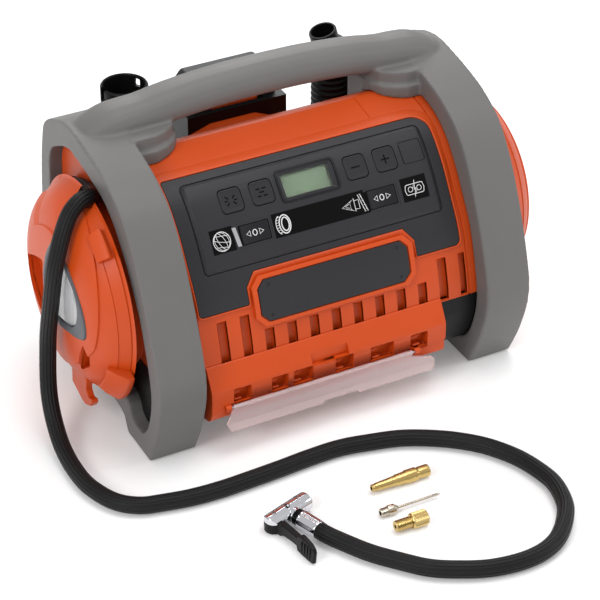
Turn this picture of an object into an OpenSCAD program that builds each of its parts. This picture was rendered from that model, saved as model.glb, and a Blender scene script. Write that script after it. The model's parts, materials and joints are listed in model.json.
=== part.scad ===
// Portable hybrid air compressor.
// Two hoop-shaped end frames carry a barrel body, a carrying handle joins them on top,
// a slide-on battery and a corrugated low-pressure hose sit on the back, and a thin
// high-pressure hose leaves the groove behind the left end dome.
// X runs along the handle, -Y is the control side, +Z is up, the feet stand on Z = 0.

/* [Carry frame] */
// Distance between the outer faces of the two hoops
frame_length = 280; // [276:1:290]
// Thickness of each hoop along X
hoop_w = 33.8; // [32:0.1:34]
// Thickness of the rubber foot pads
pad_t = 1; // [0.8:0.1:1.4]
// Height of the handle centre line at mid span
grip_z = 205.5; // [204:0.5:208]
// Grip depth front to back
grip_d = 32; // [28:1:34]
// Grip height
grip_h = 25; // [22:1:26]

/* [Body] */
// Wall thickness of the moulded shells
wall = 2.5; // [2:0.1:3]
// Height of the seam between the black chassis and the orange shells
seam_z = 63; // [61:1:65]
// Y of the flat rear wall between the hoops
rear_y = 62; // [60:0.5:63]
// Number of cooling louvres under the name plate
louvres = 12; // [8:1:12]
// Pitch of the louvres
louvre_pitch = 16.6; // [15:0.1:16.6]

/* [Controls] */
// X of the middle of the control group
panel_x = -1; // [-2:0.5:1]
// Side of the square push buttons
button_s = 16; // [14:0.5:17]
// Key travel
button_travel = 1.2; // [0.8:0.1:1.5]
// Length of the rocker keys
rocker_l = 21; // [20:0.1:21.4]

/* [End domes] */
// Radius of the end domes
dome_r = 75.7; // [74:0.1:76]
// Depth of the end domes
dome_d = 26.3; // [24:0.1:27]
// X distance from the middle to the dome rim
dome_x = 143.9; // [143.5:0.1:144.5]

/* [Hoses] */
// Outer diameter of the high-pressure hose
hose_d = 11.5; // [10:0.1:11.5]
// Outer diameter of the corrugated hose
lp_d = 28; // [26:0.5:29]

/* [Adapters] */
// Largest diameter of the cone nozzle
cone_d = 9.4; // [9:0.1:10]
// Knurl diameter of the valve adapter
valve_d = 10.6; // [10:0.1:11]

/* [Hidden] */
$fn = 64;
// The hoops' mid depth is Y = 0 in the modules; the whole object is then moved back
// so that its footprint, with the loose adapters in front, is centred on the origin.
y_shift = 60;
orange = [0.86, 0.34, 0.17];
hoop_grey = [0.5, 0.49, 0.48];
dark_grey = [0.25, 0.25, 0.27];
black = [0.09, 0.09, 0.09];
rubber = [0.16, 0.16, 0.17];
chrome = [0.8, 0.81, 0.83];
brass = [0.78, 0.64, 0.36];
clear = [0.9, 0.88, 0.88, 0.4];
hx1 = frame_length / 2;          // outer hoop face
hx0 = hx1 - hoop_w;              // inner hoop face
body_x = hx0 - 2.2;              // ends of the shells between the hoops
drum_x = 131;                    // outer end of the drums
axis_y = 5.8;                    // common axis of domes and drums
axis_z = 96.2;
core_r = 60;                     // bottom of the hose groove
gap = 0.3;

// ---------- curves ----------
function unit2(v) = v / norm(v);
function blend4(a, b, c, d, t) = 0.5 * ((2 * b) + (c - a) * t
    + (2 * a - 5 * b + 4 * c - d) * t * t + (3 * b - a - 3 * c + d) * t * t * t);
// smooth open curve through the points P, n steps for each span
function flow(P, n) = let (m = len(P) - 1) concat([for (i = [0:m - 1]) for (k = [0:n - 1])
    blend4(P[max(i - 1, 0)], P[i], P[i + 1], P[min(i + 2, m)], k / n)], [P[m]]);
// outline moved outwards by d; the outline runs up the front, over the top and down the back
function grow(P, d) = let (m = len(P)) [for (i = [0:m - 1])
    let (t = unit2(P[(i + 1) % m] - P[(i + m - 1) % m])) P[i] + d * [-t[1], t[0]]];
function arc(cx, cy, r, a0, a1, n) = [for (k = [0:n])
    let (a = a0 + (a1 - a0) * k / n) [cx + r * cos(a), cy + r * sin(a)]];
// rounded rectangle centred on the origin
function rrect(w, h, r) = concat(arc(w/2 - r, h/2 - r, r, 0, 90, 4), arc(r - w/2, h/2 - r, r, 90, 180, 4),
    arc(r - w/2, r - h/2, r, 180, 270, 4), arc(w/2 - r, r - h/2, r, 270, 360, 4));

// outside of the hoops, up the front, over the top, down the back (Y, Z)
hoop_out_ctl = [[-74, 0], [-86, 25], [-94, 50], [-95.5, 68], [-92, 84], [-84.5, 106],
    [-74.5, 130], [-62, 154], [-46, 174], [-27, 185.5], [-9, 191.5], [12, 196], [34, 199],
    [51, 197], [64, 192], [76, 186], [84, 178], [88, 166], [92, 148], [95.5, 122],
    [97, 95], [96, 60], [91, 28], [84, 0]];
hoop_out = concat([for (p = flow(hoop_out_ctl, 3)) [p[0], max(p[1], pad_t)]],
    [[56, pad_t], [53, 6], [49, 12], [42, 14.5], [30, 15], [-13, 15], [-26, 14.5],
     [-33, 12], [-35.5, 6], [-38.5, pad_t]]);
// body section inside the hoops
front_ctl = [[-63, 16.8], [-68.5, 22.5], [-73.5, 30.5], [-78.5, 46], [-79.5, 55], [-79, 66.5],
    [-75, 84], [-66.5, 110], [-53, 133], [-42, 149.5], [-28, 164.5], [-13, 173], [4, 177],
    [20, 180]];
back_ctl = [[33, 182], [45, 180], [60, 173], [71, 165.5], [76, 155], [77.5, 140],
    [79.5, 120], [81, 100], [81.5, 75], [80.5, 52], [77, 30], [70.5, 16.8]];
belly = [[60, 16.8], [56, 20], [53, 26], [48, 31], [40, 32.4], [-30, 32.4], [-38, 31],
    [-42.5, 26.5], [-45, 20], [-51, 16.8]];
F = flow(front_ctl, 4);
ring = concat(flow(concat(front_ctl, back_ctl), 3), belly);

function fy(z) = lookup(z, [for (p = F) [p[1], p[0]]]);
function tilt(z) = atan((fy(z + 1.5) - fy(z - 1.5)) / 3);
// a point at height z, d outside the front surface
function fp(z, d) = [fy(z) - d * cos(tilt(z)), z + d * sin(tilt(z))];
function strip_pts(z0, z1, d) = concat([fp(z0, d)],
    [for (p = F) if (p[1] > z0 + 0.6 && p[1] < z1 - 0.6) fp(p[1], d)], [fp(z1, d)]);
function rev(L) = [for (i = [len(L) - 1:-1:0]) L[i]];

// ---------- placing ----------
module at_origin() { translate([0, y_shift, 0]) children(); }
// a (Y, Z) outline drawn out from x0 to x1
module along_x(x0, x1, pts) {
    translate([x0, 0, 0]) rotate([90, 0, 90]) linear_extrude(x1 - x0) polygon(pts);
}
// an (X, Z) outline drawn out from y0 to y1
module along_y(y0, y1, pts) {
    translate([0, y1, 0]) rotate([90, 0, 0]) linear_extrude(y1 - y0) polygon(pts);
}
// children in a frame on the front surface: x along X, y up the surface, z outwards
module on_front(x, z) {
    translate([x, fy(z), z]) rotate([90 - tilt(z), 0, 0]) children();
}
// a curved plate lying on the front surface, between depths d0 and d1
module strip(x0, x1, z0, z1, d0, d1) {
    along_x(x0, x1, concat(strip_pts(z0, z1, d0), rev(strip_pts(z0, z1, d1))));
}
module block(x0, x1, y0, y1, z0, z1) {
    translate([x0, y0, z0]) cube([x1 - x0, y1 - y0, z1 - z0]);
}
module rod_x(x0, x1, y, z, r) { translate([x0, y, z]) rotate([0, 90, 0]) cylinder(h = x1 - x0, r = r); }
module rod_y(x, y0, y1, z, r) { translate([x, y0, z]) rotate([-90, 0, 0]) cylinder(h = y1 - y0, r = r); }

// cylinder from point a to point b
module rod_ab(a, b, r) {
    v = b - a;
    translate(a) rotate([0, acos(v[2] / norm(v)), atan2(v[1], v[0])]) cylinder(h = norm(v), r = r);
}
// tube of radius r swept through the points P with n sides; the frame is carried along
function tangent(P, i) = unit2(P[min(i + 1, len(P) - 1)] - P[max(i - 1, 0)]);
function carried(n, t) = unit2(n - (n * t) * t);
function frames(P, i, n) = i >= len(P) ? [] :
    let (u = carried(n, tangent(P, i))) concat([u], frames(P, i + 1, u));
module tube(P, r, n, up) {
    U = frames(P, 0, up);
    pts = [for (i = [0:len(P) - 1]) let (t = tangent(P, i), v = cross(t, U[i]))
        for (k = [0:n - 1]) P[i] + r * (cos(360 * k / n) * U[i] + sin(360 * k / n) * v)];
    m = len(P) - 1;
    polyhedron(pts, concat([[for (k = [0:n - 1]) k]], [[for (k = [n - 1:-1:0]) m * n + k]],
        [for (i = [0:m - 1]) for (k = [0:n - 1])
            [i * n + k, (i + 1) * n + k, (i + 1) * n + (k + 1) % n, i * n + (k + 1) % n]]));
}
// involute gear in the XY plane, module 1, with zt teeth
function inv_pt(rb, r) = let (t = sqrt(max(0, r * r / (rb * rb) - 1)) * 180 / PI) t - atan(t * PI / 180);
module gear(zt, add, ded, h, play) {
    rp = zt / 2; rb = rp * cos(20);
    half = (90 - play / rp * 90 / PI) / zt + inv_pt(rb, rp);
    rr = [max(rb, rp - ded), rp - 0.2, rp + add * 0.5, rp + add];
    linear_extrude(h) polygon([for (k = [0:zt - 1]) let (a = 360 * k / zt) each concat(
        [let (w = half) [(rp - ded) * cos(a - w), (rp - ded) * sin(a - w)]],
        [for (r = rr) let (w = half - inv_pt(rb, r)) [r * cos(a - w), r * sin(a - w)]],
        [for (i = [3:-1:0]) let (r = rr[i], w = half - inv_pt(rb, r)) [r * cos(a + w), r * sin(a + w)]],
        [let (w = half) [(rp - ded) * cos(a + w), (rp - ded) * sin(a + w)]])]);
}

// ---------- carry frame ----------
pad_xy = [[-(hx1 - hoop_w / 2), -56], [-(hx1 - hoop_w / 2), 70], [hx1 - hoop_w / 2, -56], [hx1 - hoop_w / 2, 70]];
screw_xy = [[-122, -14], [-122, 24], [122, -14], [122, 24]];
module hoop() {
    difference() {
        along_x(hx0, hx1, hoop_out);
        along_x(hx0 - 1, hx1 + 1, grow(ring, gap));
        for (p = screw_xy) if (p[0] > 0) translate([p[0], p[1], 0]) {
            cylinder(h = 19, r = 3.9);
            cylinder(h = 40, r = 2.2);
        }
    }
}
module left_hoop() { color(hoop_grey) at_origin() mirror([1, 0, 0]) hoop(); }
module right_hoop() { color(hoop_grey) at_origin() hoop(); }
module foot_pads() {
    color(rubber) at_origin() for (p = pad_xy) block(p[0] - 12, p[0] + 12, p[1] - 12, p[1] + 12, 0, pad_t);
}
module frame_screws() {
    color(chrome) at_origin() for (p = screw_xy) translate([p[0], p[1], 0]) difference() {
        union() {
            translate([0, 0, 15.6]) cylinder(h = 3.4, r = 3.6);
            translate([0, 0, 19]) cylinder(h = 24, r = 1.98);
        }
        translate([0, 0, 15]) cylinder(h = 2.4, r = 1.6, $fn = 6);
    }
}
// handle centre line and half sizes by X
grip_ctl = [[0, grip_z, 1], [35, grip_z - 0.8, 1], [68, grip_z - 3.5, 1], [90, grip_z - 7, 1],
    [104, grip_z - 8.5, 1.06], [116, grip_z - 10, 1.08], [128, grip_z - 13.5, 1.02], [139, grip_z - 20, 0.9]];
grip_mid = flow(grip_ctl, 3);
grip_line = concat([for (i = [len(grip_mid) - 1:-1:1]) [-grip_mid[i][0], grip_mid[i][1], grip_mid[i][2]]], grip_mid);
// half of a hollow grip, upper when s = 1 and lower when s = -1
module grip_half(s, o, i) {
    n = 12;
    L = grip_line;
    m = len(L) - 1;
    c = 2 * (n + 1);
    pts = [for (q = L) each concat(
        [for (k = [0:n]) [q[0], 35 + (grip_d / 2 + o) * q[2] * cos(180 * k / n), q[1] + s * (0.15 + (grip_h / 2 + o) * q[2] * sin(180 * k / n))]],
        [for (k = [n:-1:0]) [q[0], 35 + (grip_d / 2 - i) * q[2] * cos(180 * k / n), q[1] + s * (0.15 + (grip_h / 2 - i) * q[2] * sin(180 * k / n))]])];
    f = concat([[for (k = [0:c - 1]) k]], [[for (k = [c - 1:-1:0]) m * c + k]],
        [for (j = [0:m - 1]) for (k = [0:c - 1]) [j * c + k, (j + 1) * c + k, (j + 1) * c + (k + 1) % c, j * c + (k + 1) % c]]);
    polyhedron(pts, s > 0 ? f : [for (q = f) rev(q)]);
}
module hoop_solids() {
    along_x(-hx1 - 1, -hx0 + 0.01, hoop_out);
    along_x(hx0 - 0.01, hx1 + 1, hoop_out);
}
module handle_upper() {
    color(hoop_grey) at_origin() difference() { grip_half(1, 0, 3); hoop_solids(); }
}
bracket_xz = [[hx0, 172], [hx0, 193], [76, 196], [71, 190], [76, 182], [84, 176], [92, 172]];
module bracket() {
    intersection() {
        along_y(4, 54, bracket_xz);
        translate([0, 0, 165]) linear_extrude(40)
            polygon([[hx0, 6], [98, 6], [86, 12], [77, 18], [70, 24], [70, 50], [hx0, 52]]);
    }
}
module handle_lower() {
    color(hoop_grey) at_origin() difference() {
        union() {
            grip_half(-1, 0, 3);
            difference() {
                union() { bracket(); mirror([1, 0, 0]) bracket(); translate([5.5, 0, 0]) mirror([1, 0, 0]) bracket(); }
                block(-130, 130, 35 - grip_d / 2 + 2, 35 + grip_d / 2 - 2, 190, 210);
                along_x(-body_x - 10, body_x + 10, body_outer());
                for (s = [-1, 1]) along_x(s * (body_x + 1.5) - 1.5, s * (body_x + 1.5) + 1.5, ring);
            }
        }
        hoop_solids();
    }
}

// ---------- shells ----------
top_y = 17;
rear_line = [[20, 179.6], [26, 177.5], [34, 170], [48, 152], [58, 138], [rear_y, 128]];
function body_outer() = concat([for (p = F) p], [for (p = rear_line) p], [[rear_y, 36], [58, 32.4]],
    [for (i = [5:9]) belly[i]]);
function front_shell(d) = [for (p = F) if (p[1] > seam_z + 1.5 && p[0] < top_y) fp(p[1], d)];
front_top = fp(179.2, 0)[1];
module front_housing() {
    zt = 116.5; zb = 83.5;
    color(orange) at_origin() difference() {
        union() {
            // barrel shell from the seam to the top
            along_x(-body_x, body_x, concat([[fy(seam_z + 0.1), seam_z + 0.1]], front_shell(0), [[top_y, 179.4]],
                [[top_y, 179.4 - wall]], rev(front_shell(-wall)), [[fy(seam_z + 0.1) + wall, seam_z + 0.1]]));
            // thick zone that carries the louvres
            strip(-101, 101, 64, 97, -9, -1);
            // raised surround of the name plate
            on_front(0, 100) translate([0, 0, -1.5]) linear_extrude(4.3)
                polygon([[-60.5, -10.5], [-54, -17.5], [54, -17.5], [60.5, -10.5], [60.5, 11], [54.5, 17.5], [-54.5, 17.5], [-60.5, 11]]);
            // bosses towards the chassis
            for (x = [-92, 92]) block(x - 4, x + 4, -72, -62, seam_z + 0.1, 66);
        }
        // louvres: a shallow ramp that ends in an open slot
        for (i = [0:louvres - 1]) {
            a = -97.5 + louvre_pitch * i;
            tall = i < 2 || i > louvres - 3;
            on_front(0, 74) translate([0, tall ? 6.3 : -0.2, 0]) rotate([90, 0, 0]) translate([0, 0, -12.5])
                linear_extrude(tall ? 26 : 20) polygon([[a + 9.2, 6], [a + 9.2, 0], [a + louvre_pitch - 3, -3.5],
                    [a + louvre_pitch - 3, -14], [a + louvre_pitch, -14], [a + louvre_pitch, 6]]);
        }
        // recess of the name plate
        on_front(0, 100) translate([0, 0, 1.2]) linear_extrude(4)
            polygon([[-56.6, -9], [-51, -14.6], [51, -14.6], [56.6, -9], [56.6, 9.2], [51.5, 14.6], [-51.5, 14.6], [-56.6, 9.2]]);
        control_windows(-12, 3);
    }
}
// square and rectangular windows that pass the keys and the display
module control_windows(d0, d1) {
    for (x = button_xs) on_front(x, button_z) translate([0, 0, d0]) linear_extrude(d1 - d0) square(button_s + 0.8, center = true);
    for (x = rocker_xs) on_front(x, rocker_z) translate([0, 0, d0]) linear_extrude(d1 - d0) square([24.6, 15.8], center = true);
    on_front(panel_x - 1, button_z) translate([0, 0, d0]) linear_extrude(d1 - d0) square([34, 15.6], center = true);
}
module rear_housing() {
    color(orange) at_origin() difference() {
        union() {
            along_x(-body_x, body_x, concat([[top_y + 0.1, 179.4]], rear_line,
                [[rear_y, seam_z + 0.1], [rear_y - wall, seam_z + 0.1]],
                [for (i = [len(rear_line) - 1:-1:1]) rear_line[i] - [wall * 0.9, wall * 0.75]], [[top_y + 0.1, 179.4 - wall]]));
            // raised hood in front of the battery
            along_y(44, rear_y, [[-50, 130], [-50, 146], [-42, 155], [-26, 160], [8, 160], [20, 155], [28, 149], [30, 130]]);
        }
        along_y(40, rear_y - wall, [[-47.5, 120], [-47.5, 145], [-40.5, 152.8], [-25.5, 157.5], [7.5, 157.5], [18.6, 152.8], [25.6, 147.8], [27.5, 120]]);
        for (x = [-18, -6, 6, 18]) block(x - 0.9, x + 0.9, 56, 66, 103, 113);
    }
}
module chassis_base() {
    front_low = [for (p = F) if (p[1] < seam_z - 1) p];
    color(black) at_origin() difference() {
        union() {
            along_x(-body_x - 0.1, body_x + 0.1, concat(front_low, [[fy(seam_z), seam_z], [rear_y, seam_z], [rear_y, 36], [58, 32.4]],
                [for (i = [5:9]) belly[i]]));
            for (s = [-1, 1]) intersection() {
                along_x(s > 0 ? body_x : -drum_x, s > 0 ? drum_x : -body_x, ring);
                block(-200, 200, -100, 100, 10, seam_z);
            }
        }
        difference() {
            union() {
                along_x(-drum_x + wall, drum_x - wall, [[-76.4, 70], [-76.8, 55], [-75.6, 47], [-71, 35.2], [rear_y - wall, 35.2], [rear_y - wall, 70]]);
            }
            for (p = screw_xy) translate([p[0], p[1], 30]) cylinder(h = 16, r = 5);
            // cradles under the compressor motor
            for (x = [-86, -54]) difference() {
                block(x, x + 6, -38, 8, 30, 54);
                rod_x(x - 1, x + 7, motor_y, motor_z, 24);
            }
        }
        for (p = screw_xy) translate([p[0], p[1], 30]) cylinder(h = 20, r = 2);
    }
}
module drum() {
    color(orange) at_origin() difference() {
        union() {
            difference() {
                along_x(body_x + 0.1, drum_x, ring);
                along_x(body_x - 1, drum_x - wall, grow(ring, -wall));
                block(90, 150, -100, 100, 0, seam_z + 0.1);
            }
            rod_x(drum_x, dome_x, axis_y, axis_z, core_r);
        }
        rod_x(drum_x - 5, dome_x + 1, axis_y, axis_z, core_r - 3);
    }
}
module left_drum() { mirror([1, 0, 0]) drum(); }
module right_drum() { drum(); }

// ---------- end domes ----------
function dome_at(s, o) = [max(0, dome_r * pow(1 - s, 0.172)) , dome_x + dome_d * s];
dome_s = [0, 0.08, 0.18, 0.3, 0.42, 0.54, 0.66, 0.76, 0.85, 0.91, 0.95, 0.975, 0.99, 0.997];
dome_prof = concat([for (s = dome_s) dome_at(s)], [[12, dome_x + dome_d], [0, dome_x + dome_d]]);
module revolve_x(pts) { translate([0, axis_y, axis_z]) rotate([0, 90, 0]) rotate_extrude($fn = 96) polygon(pts); }
function shrink(P, d) = [for (p = P) [max(0, p[0] - d * pow(p[0] / dome_r, 3)), p[1] - d]];
module dome_shell(shift) {
    revolve_x(concat([[core_r + 1, dome_x]], [for (p = dome_prof) [p[0], p[1] + shift]],
        [[0, dome_x + dome_d - wall + shift]], rev([for (i = [2:len(dome_prof) - 2]) let (p = dome_prof[i]) [max(3, p[0] - (p[0] > 20 ? 2.6 : 0)), max(dome_x + 2, p[1] - wall + shift)]]),
        [[core_r + 1, dome_x + 2]]));
}
lamp_y = -12; lamp_z = 108;
// leaf outline of the lamp with its tip at the top, (Y, Z)
leaf_ctl = [[1.6, 141], [9, 131], [15, 119], [19.2, 106], [19.4, 94], [14.5, 84], [5, 78.6], [-8, 79.2], [-22, 82.4],
    [-35, 85.4], [-42.6, 89.6], [-44, 98], [-41, 109.5], [-33.2, 121.5], [-22, 131.5], [-9.6, 138.4], [1.6, 141]];
leaf = let (P = flow(leaf_ctl, 3)) [for (i = [0:len(P) - 2]) P[i]];
// the leaf shape moved inwards by d and drawn out along X
module lamp_leaf(x0, x1, d) { along_x(x0, x1, grow(leaf, -d)); }
module left_end_cap() {
    color(orange) at_origin() difference() {
        mirror([1, 0, 0]) dome_shell(0);
        lamp_leaf(-180, -140, -0.3);
        // notch in the rim where the thin hose comes out
        rod_ab([-136, 11.5, 161.8], [-150, -8.6, 173.6], hose_d / 2 + 1.2);
        rod_ab([-146, -9.4, 172.8], [-162, -9.4, 172.8], hose_d / 2 + 1);
        // vent beside the lamp
        along_x(-180, -150, [[46, 100], [36, 107], [25.6, 112], [24.6, 104], [24.8, 92], [21, 82], [16, 74], [24, 67], [36, 68], [43, 77], [46.6, 88]]);
    }
}
module right_end_cap() {
    color(orange) at_origin() difference() {
        union() {
            dome_shell(0);
            // inflate port
            rod_x(155, 173, 6, 106, 17);
        }
        rod_x(150, 180, 6, 106, 14.1);
    }
}
module lamp_bezel() {
    color(dark_grey) at_origin() difference() {
        intersection() { mirror([1, 0, 0]) dome_shell(1.1); lamp_leaf(-180, -150, 0); }
        lamp_leaf(-181, -149, 3.4);
    }
}
module lamp_lens() {
    color(clear) at_origin() intersection() { mirror([1, 0, 0]) dome_shell(0.6); lamp_leaf(-180, -150, 3.7); }
}
module lamp_reflector() {
    color(chrome) at_origin() difference() {
        translate([-164.5, lamp_y, lamp_z]) rotate([0, 90, 0]) cylinder(h = 12, r1 = 17.5, r2 = 7);
        translate([-165.5, lamp_y, lamp_z]) rotate([0, 90, 0]) cylinder(h = 11, r1 = 17, r2 = 6.4);
        translate([-156, lamp_y, lamp_z]) rotate([0, 90, 0]) cylinder(h = 6, r = 4);
    }
}
module lamp_led() {
    color("white") at_origin() union() {
        rod_x(-152.4, -150.8, lamp_y, lamp_z, 16);
        rod_x(-157, -152.4, lamp_y, lamp_z, 3.6);
    }
}

// ---------- control panel ----------
button_z = 158.5;
button_xs = [panel_x - 57.5, panel_x - 35, panel_x + 35, panel_x + 57.5];
rocker_z = 139.8;
rocker_xs = [panel_x - 47.5, panel_x + 47.5];
module control_panel() {
    color(dark_grey) at_origin() difference() {
        intersection() {
            strip(-98.5, 97, 99.5, 172.6, 0, 1.2);
            along_y(-90, 10, concat(arc(-88, 163.6, 9.5, 180, 90, 4), arc(86, 162, 11, 90, 0, 4), arc(93, 103.5, 4, 0, -90, 3),
                [[63, 99.5], [63, 111], [56, 120], [-56, 120], [-63, 111], [-63, 99.5]], arc(-94.5, 103.5, 4, -90, -180, 3)));
        }
        control_windows(-3, 4);
        on_front(panel_x - 1, button_z) translate([0, 0, -3]) linear_extrude(8) square([40.4, 18.8], center = true);
    }
}
module icon_strip() {
    color(black) at_origin() {
        strip(panel_x - 32.6, panel_x + 32.6, 133.4, 146.4, 1.26, 1.8);
        strip(panel_x - 79, panel_x - 62.8, 133.4, 146.4, 1.26, 1.8);
        strip(panel_x + 62.8, panel_x + 82, 133.4, 146.4, 1.26, 1.8);
    }
}
module lcd_window() {
    color(clear) at_origin() on_front(panel_x - 1, button_z) translate([0, 0, 0.1]) linear_extrude(0.9) square([40, 18.4], center = true);
}
module lcd_module() {
    color([0.55, 0.6, 0.5]) at_origin() on_front(panel_x - 1, button_z) translate([0, 0, -9]) union() {
        linear_extrude(5) square([42, 21.6], center = true);
        linear_extrude(7.4) square([33, 14.8], center = true);
    }
}
module key(i) {
    color(hoop_grey) at_origin() on_front(button_xs[i], button_z) union() {
        translate([0, 0, -6]) linear_extrude(8.6) polygon(rrect(button_s, button_s, 1.2));
        translate([0, 0, -6.4]) linear_extrude(1.6) square(button_s + 2.6, center = true);
    }
}
module mode_button() { key(0); }
module unit_button() { key(1); }
module minus_button() { key(2); }
module plus_button() { key(3); }
// rocker key with a dished top, tilting about the axis up the panel
module rocker(x) {
    color(dark_grey) at_origin() on_front(x, rocker_z) union() {
        intersection() {
            translate([0, 6.3, 0]) rotate([90, 0, 0]) linear_extrude(12.6)
                polygon([[-12, -6], [12, -6], [12, 3.6], [4.4, 1.8], [-4.4, 1.8], [-12, 3.6]]);
            translate([0, 10, -3]) rotate([90, 0, 0]) cylinder(h = 20, r = rocker_l / 2);
        }
        translate([0, 7.5, -3]) rotate([90, 0, 0]) cylinder(h = 15, r = 1.5);
    }
}
module high_rocker() { rocker(rocker_xs[0]); }
module lp_rocker() { rocker(rocker_xs[1]); }
module rocker_frames() {
    color(black) at_origin() for (x = rocker_xs) on_front(x, rocker_z) difference() {
        union() {
            translate([0, 0, -8]) linear_extrude(10) square([24.2, 15.4], center = true);
            translate([0, 0, 1.6]) linear_extrude(0.9) square([25.4, 16.6], center = true);
        }
        translate([0, 0, -9]) linear_extrude(14) square([22, 13.2], center = true);
        translate([0, 10, -3]) rotate([90, 0, 0]) cylinder(h = 20, r = 1.56);
    }
}
module panel_board() {
    color([0.1, 0.35, 0.2]) at_origin() union() {
        on_front(0, 148) translate([-64, -20, -15]) cube([128, 38, 1.6]);
        for (x = button_xs) on_front(x, button_z) translate([-3, -3, -15]) cube([6, 6, 6.8]);
        for (x = rocker_xs) on_front(x, rocker_z) for (s = [-7, 7]) translate([s - 2.5, -3, -15]) cube([5, 6, 3.4]);
        on_front(86, 150) translate([-30, -5, -15]) cube([24, 8, 1.6]);
    }
}
module name_plate() {
    color(dark_grey) at_origin() on_front(0, 100) translate([0, 0, 1.2]) linear_extrude(1.4)
        polygon([[-56, -8.8], [-50.7, -14.1], [50.7, -14.1], [56, -8.8], [56, 9], [51.2, 14.1], [-51.2, 14.1], [-56, 9]]);
}

// ---------- accessory tray and lid ----------
tray_x0 = -100; tray_x1 = 78;
lid_y = -89.8; lid_z = 37;
tray_back = [[-79.2, 66.8], [-79.65, 60], [-79.9, 55], [-79.5, 50], [-78.9, 46], [-77, 39.5], [-74, 30.6], [-70.5, 24.4]];
module accessory_tray() {
    color(orange) at_origin() difference() {
        union() {
            difference() {
                along_x(tray_x0, tray_x1, [[-79.6, 66.8], [-80.6, 65.6], [-87.8, 52.8], [-88.5, 50.6], [-88.5, 35], [-86.4, 29], [-81.6, 24.6], [-71, 22]]);
                // recess for the adapters, open to the front
                block(-84, 64, -95, -81.4, 36.6, 50.2);
                // finger notch in the top front edge
                translate([-8, -88.4, 60]) rotate([30, 0, 0]) linear_extrude(30, center = true) polygon(rrect(34, 9, 3));
                block(-91, 95, -100, -86.6, 20, lid_z + 2.2);
                along_x(-200, 200, concat([for (p = F) if (p[1] < 80) p + [-0.12, 0]], [[0, 80], [0, 16]]));
            }
            // clips that hold the adapters
            for (x = [-80, -50, -33]) difference() {
                block(x - 3, x + 3, -86.4, -81.3, 38.5, 48.5);
                rod_x(x - 4, x + 4, -86.2, 43.5, 3.9);
            }
            for (x = [-2, 28, 57]) difference() {
                block(x - 3.5, x + 3.5, -86.4, -81.3, 38.5, 48.5);
                rod_x(x - 4, x + 4, -86.2, 43.5, 4.2);
            }
            // hinge lugs
            for (x = [-90.7, 52.6]) difference() {
                block(x, x + 4, -91.2, -84, lid_z - 2.2, lid_z + 2.2);
                rod_x(x - 1, x + 5, lid_y, lid_z, 0.8);
            }
        }
    }
}
// the lid hangs open from its hinge; an (Y, Z) section of plate and sloping rim
module accessory_lid() {
    tip = [-2.2, -5.6];
    color(clear) at_origin() difference() {
        union() {
            intersection() {
                along_x(-91, 69, [[lid_y - 0.9, lid_z], [lid_y + 0.9, lid_z], [lid_y + 0.9, lid_z - 12.8], [lid_y + 0.9 + tip[0], lid_z - 12.8 + tip[1]],
                    [lid_y - 0.9 + tip[0], lid_z - 12.2 + tip[1]], [lid_y - 0.9, lid_z - 12.4]]);
                along_y(-105, -80, concat([[50.5, 38], [50.5, 34]], arc(62, 24.6, 6.4, 30, -90, 4), [[10, 17.8], [7, 21], [-18, 21], [-21, 17.8]], arc(-84, 24.2, 6, -90, -180, 4), [[-86, 34], [-85, 38]]));
            }
            rod_x(-85, 50.5, lid_y, lid_z, 1.6);
        }
        rod_x(-86, -76, lid_y, lid_z, 0.8);
        rod_x(42, 51, lid_y, lid_z, 0.8);
    }
}
module lid_pins() {
    color(chrome) at_origin() { rod_x(-90.4, -77, lid_y, lid_z, 0.75); rod_x(43, 56, lid_y, lid_z, 0.75); }
}

// ---------- high-pressure hose ----------
hose_z = 6;
hose_air = [[-137.5, 41, 152.6], [-137.5, 26, 159.6], [-138, 10, 163.4], [-141.5, -1, 168], [-147.5, -7, 171.8],
    [-154.5, -10.5, 172], [-162, -13.5, 167.5], [-168.5, -17, 158.5], [-174, -19.5, 146], [-177.4, -19, 131.5],
    [-178.4, -12, 104.5], [-179, -4, 75.5], [-180, -3, 58.5], [-182.5, -6.5, 40], [-185, -14, 27],
    [-187, -25.5, 16], [-189, -41.5, 9], [-190, -60, 6.2]];
hose_floor = [[-189.5, -80.5], [-185.5, -96.5], [-180, -108], [-173, -115.5], [-164.5, -120.5], [-155, -123],
    [-135.5, -127], [-114.5, -128.5], [-92.5, -128], [-70, -127], [-47, -125.5], [-24.5, -125.5], [-3.5, -129.5],
    [16.5, -135], [34, -144], [50.5, -156], [64.5, -171], [75.5, -191], [81, -213], [81, -228], [76, -245],
    [69, -256], [60, -266], [49.5, -274], [36, -279], [19.5, -280], [0, -276.5], [-17, -269], [-33, -259],
    [-46.5, -244.5], [-59, -229], [-69.5, -211]];
chuck_k = [-98.6, -174.2, 6.6];
chuck_a = 18;
chuck_u = [cos(chuck_a), sin(chuck_a), 0];
chuck_v = [sin(chuck_a), -cos(chuck_a), 0];
ferrule_end = chuck_k + 14 * chuck_u + 27 * chuck_v;
hose_route = concat(hose_air, [for (p = hose_floor) [p[0], p[1], hose_z]], [ferrule_end + 6 * chuck_v, ferrule_end]);
module air_hose() { color(rubber) at_origin() tube(hose_route, hose_d / 2, 10, [1, 0, 0]); }
module hose_gland() {
    color(black) at_origin() translate([-137.5, 41, 152.6]) rotate([-115, 0, 0]) union() {
        cylinder(h = 12, r = 6.2);
        translate([-5, 2, 0]) cube([10, 4.4, 5]);
    }
}
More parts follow.
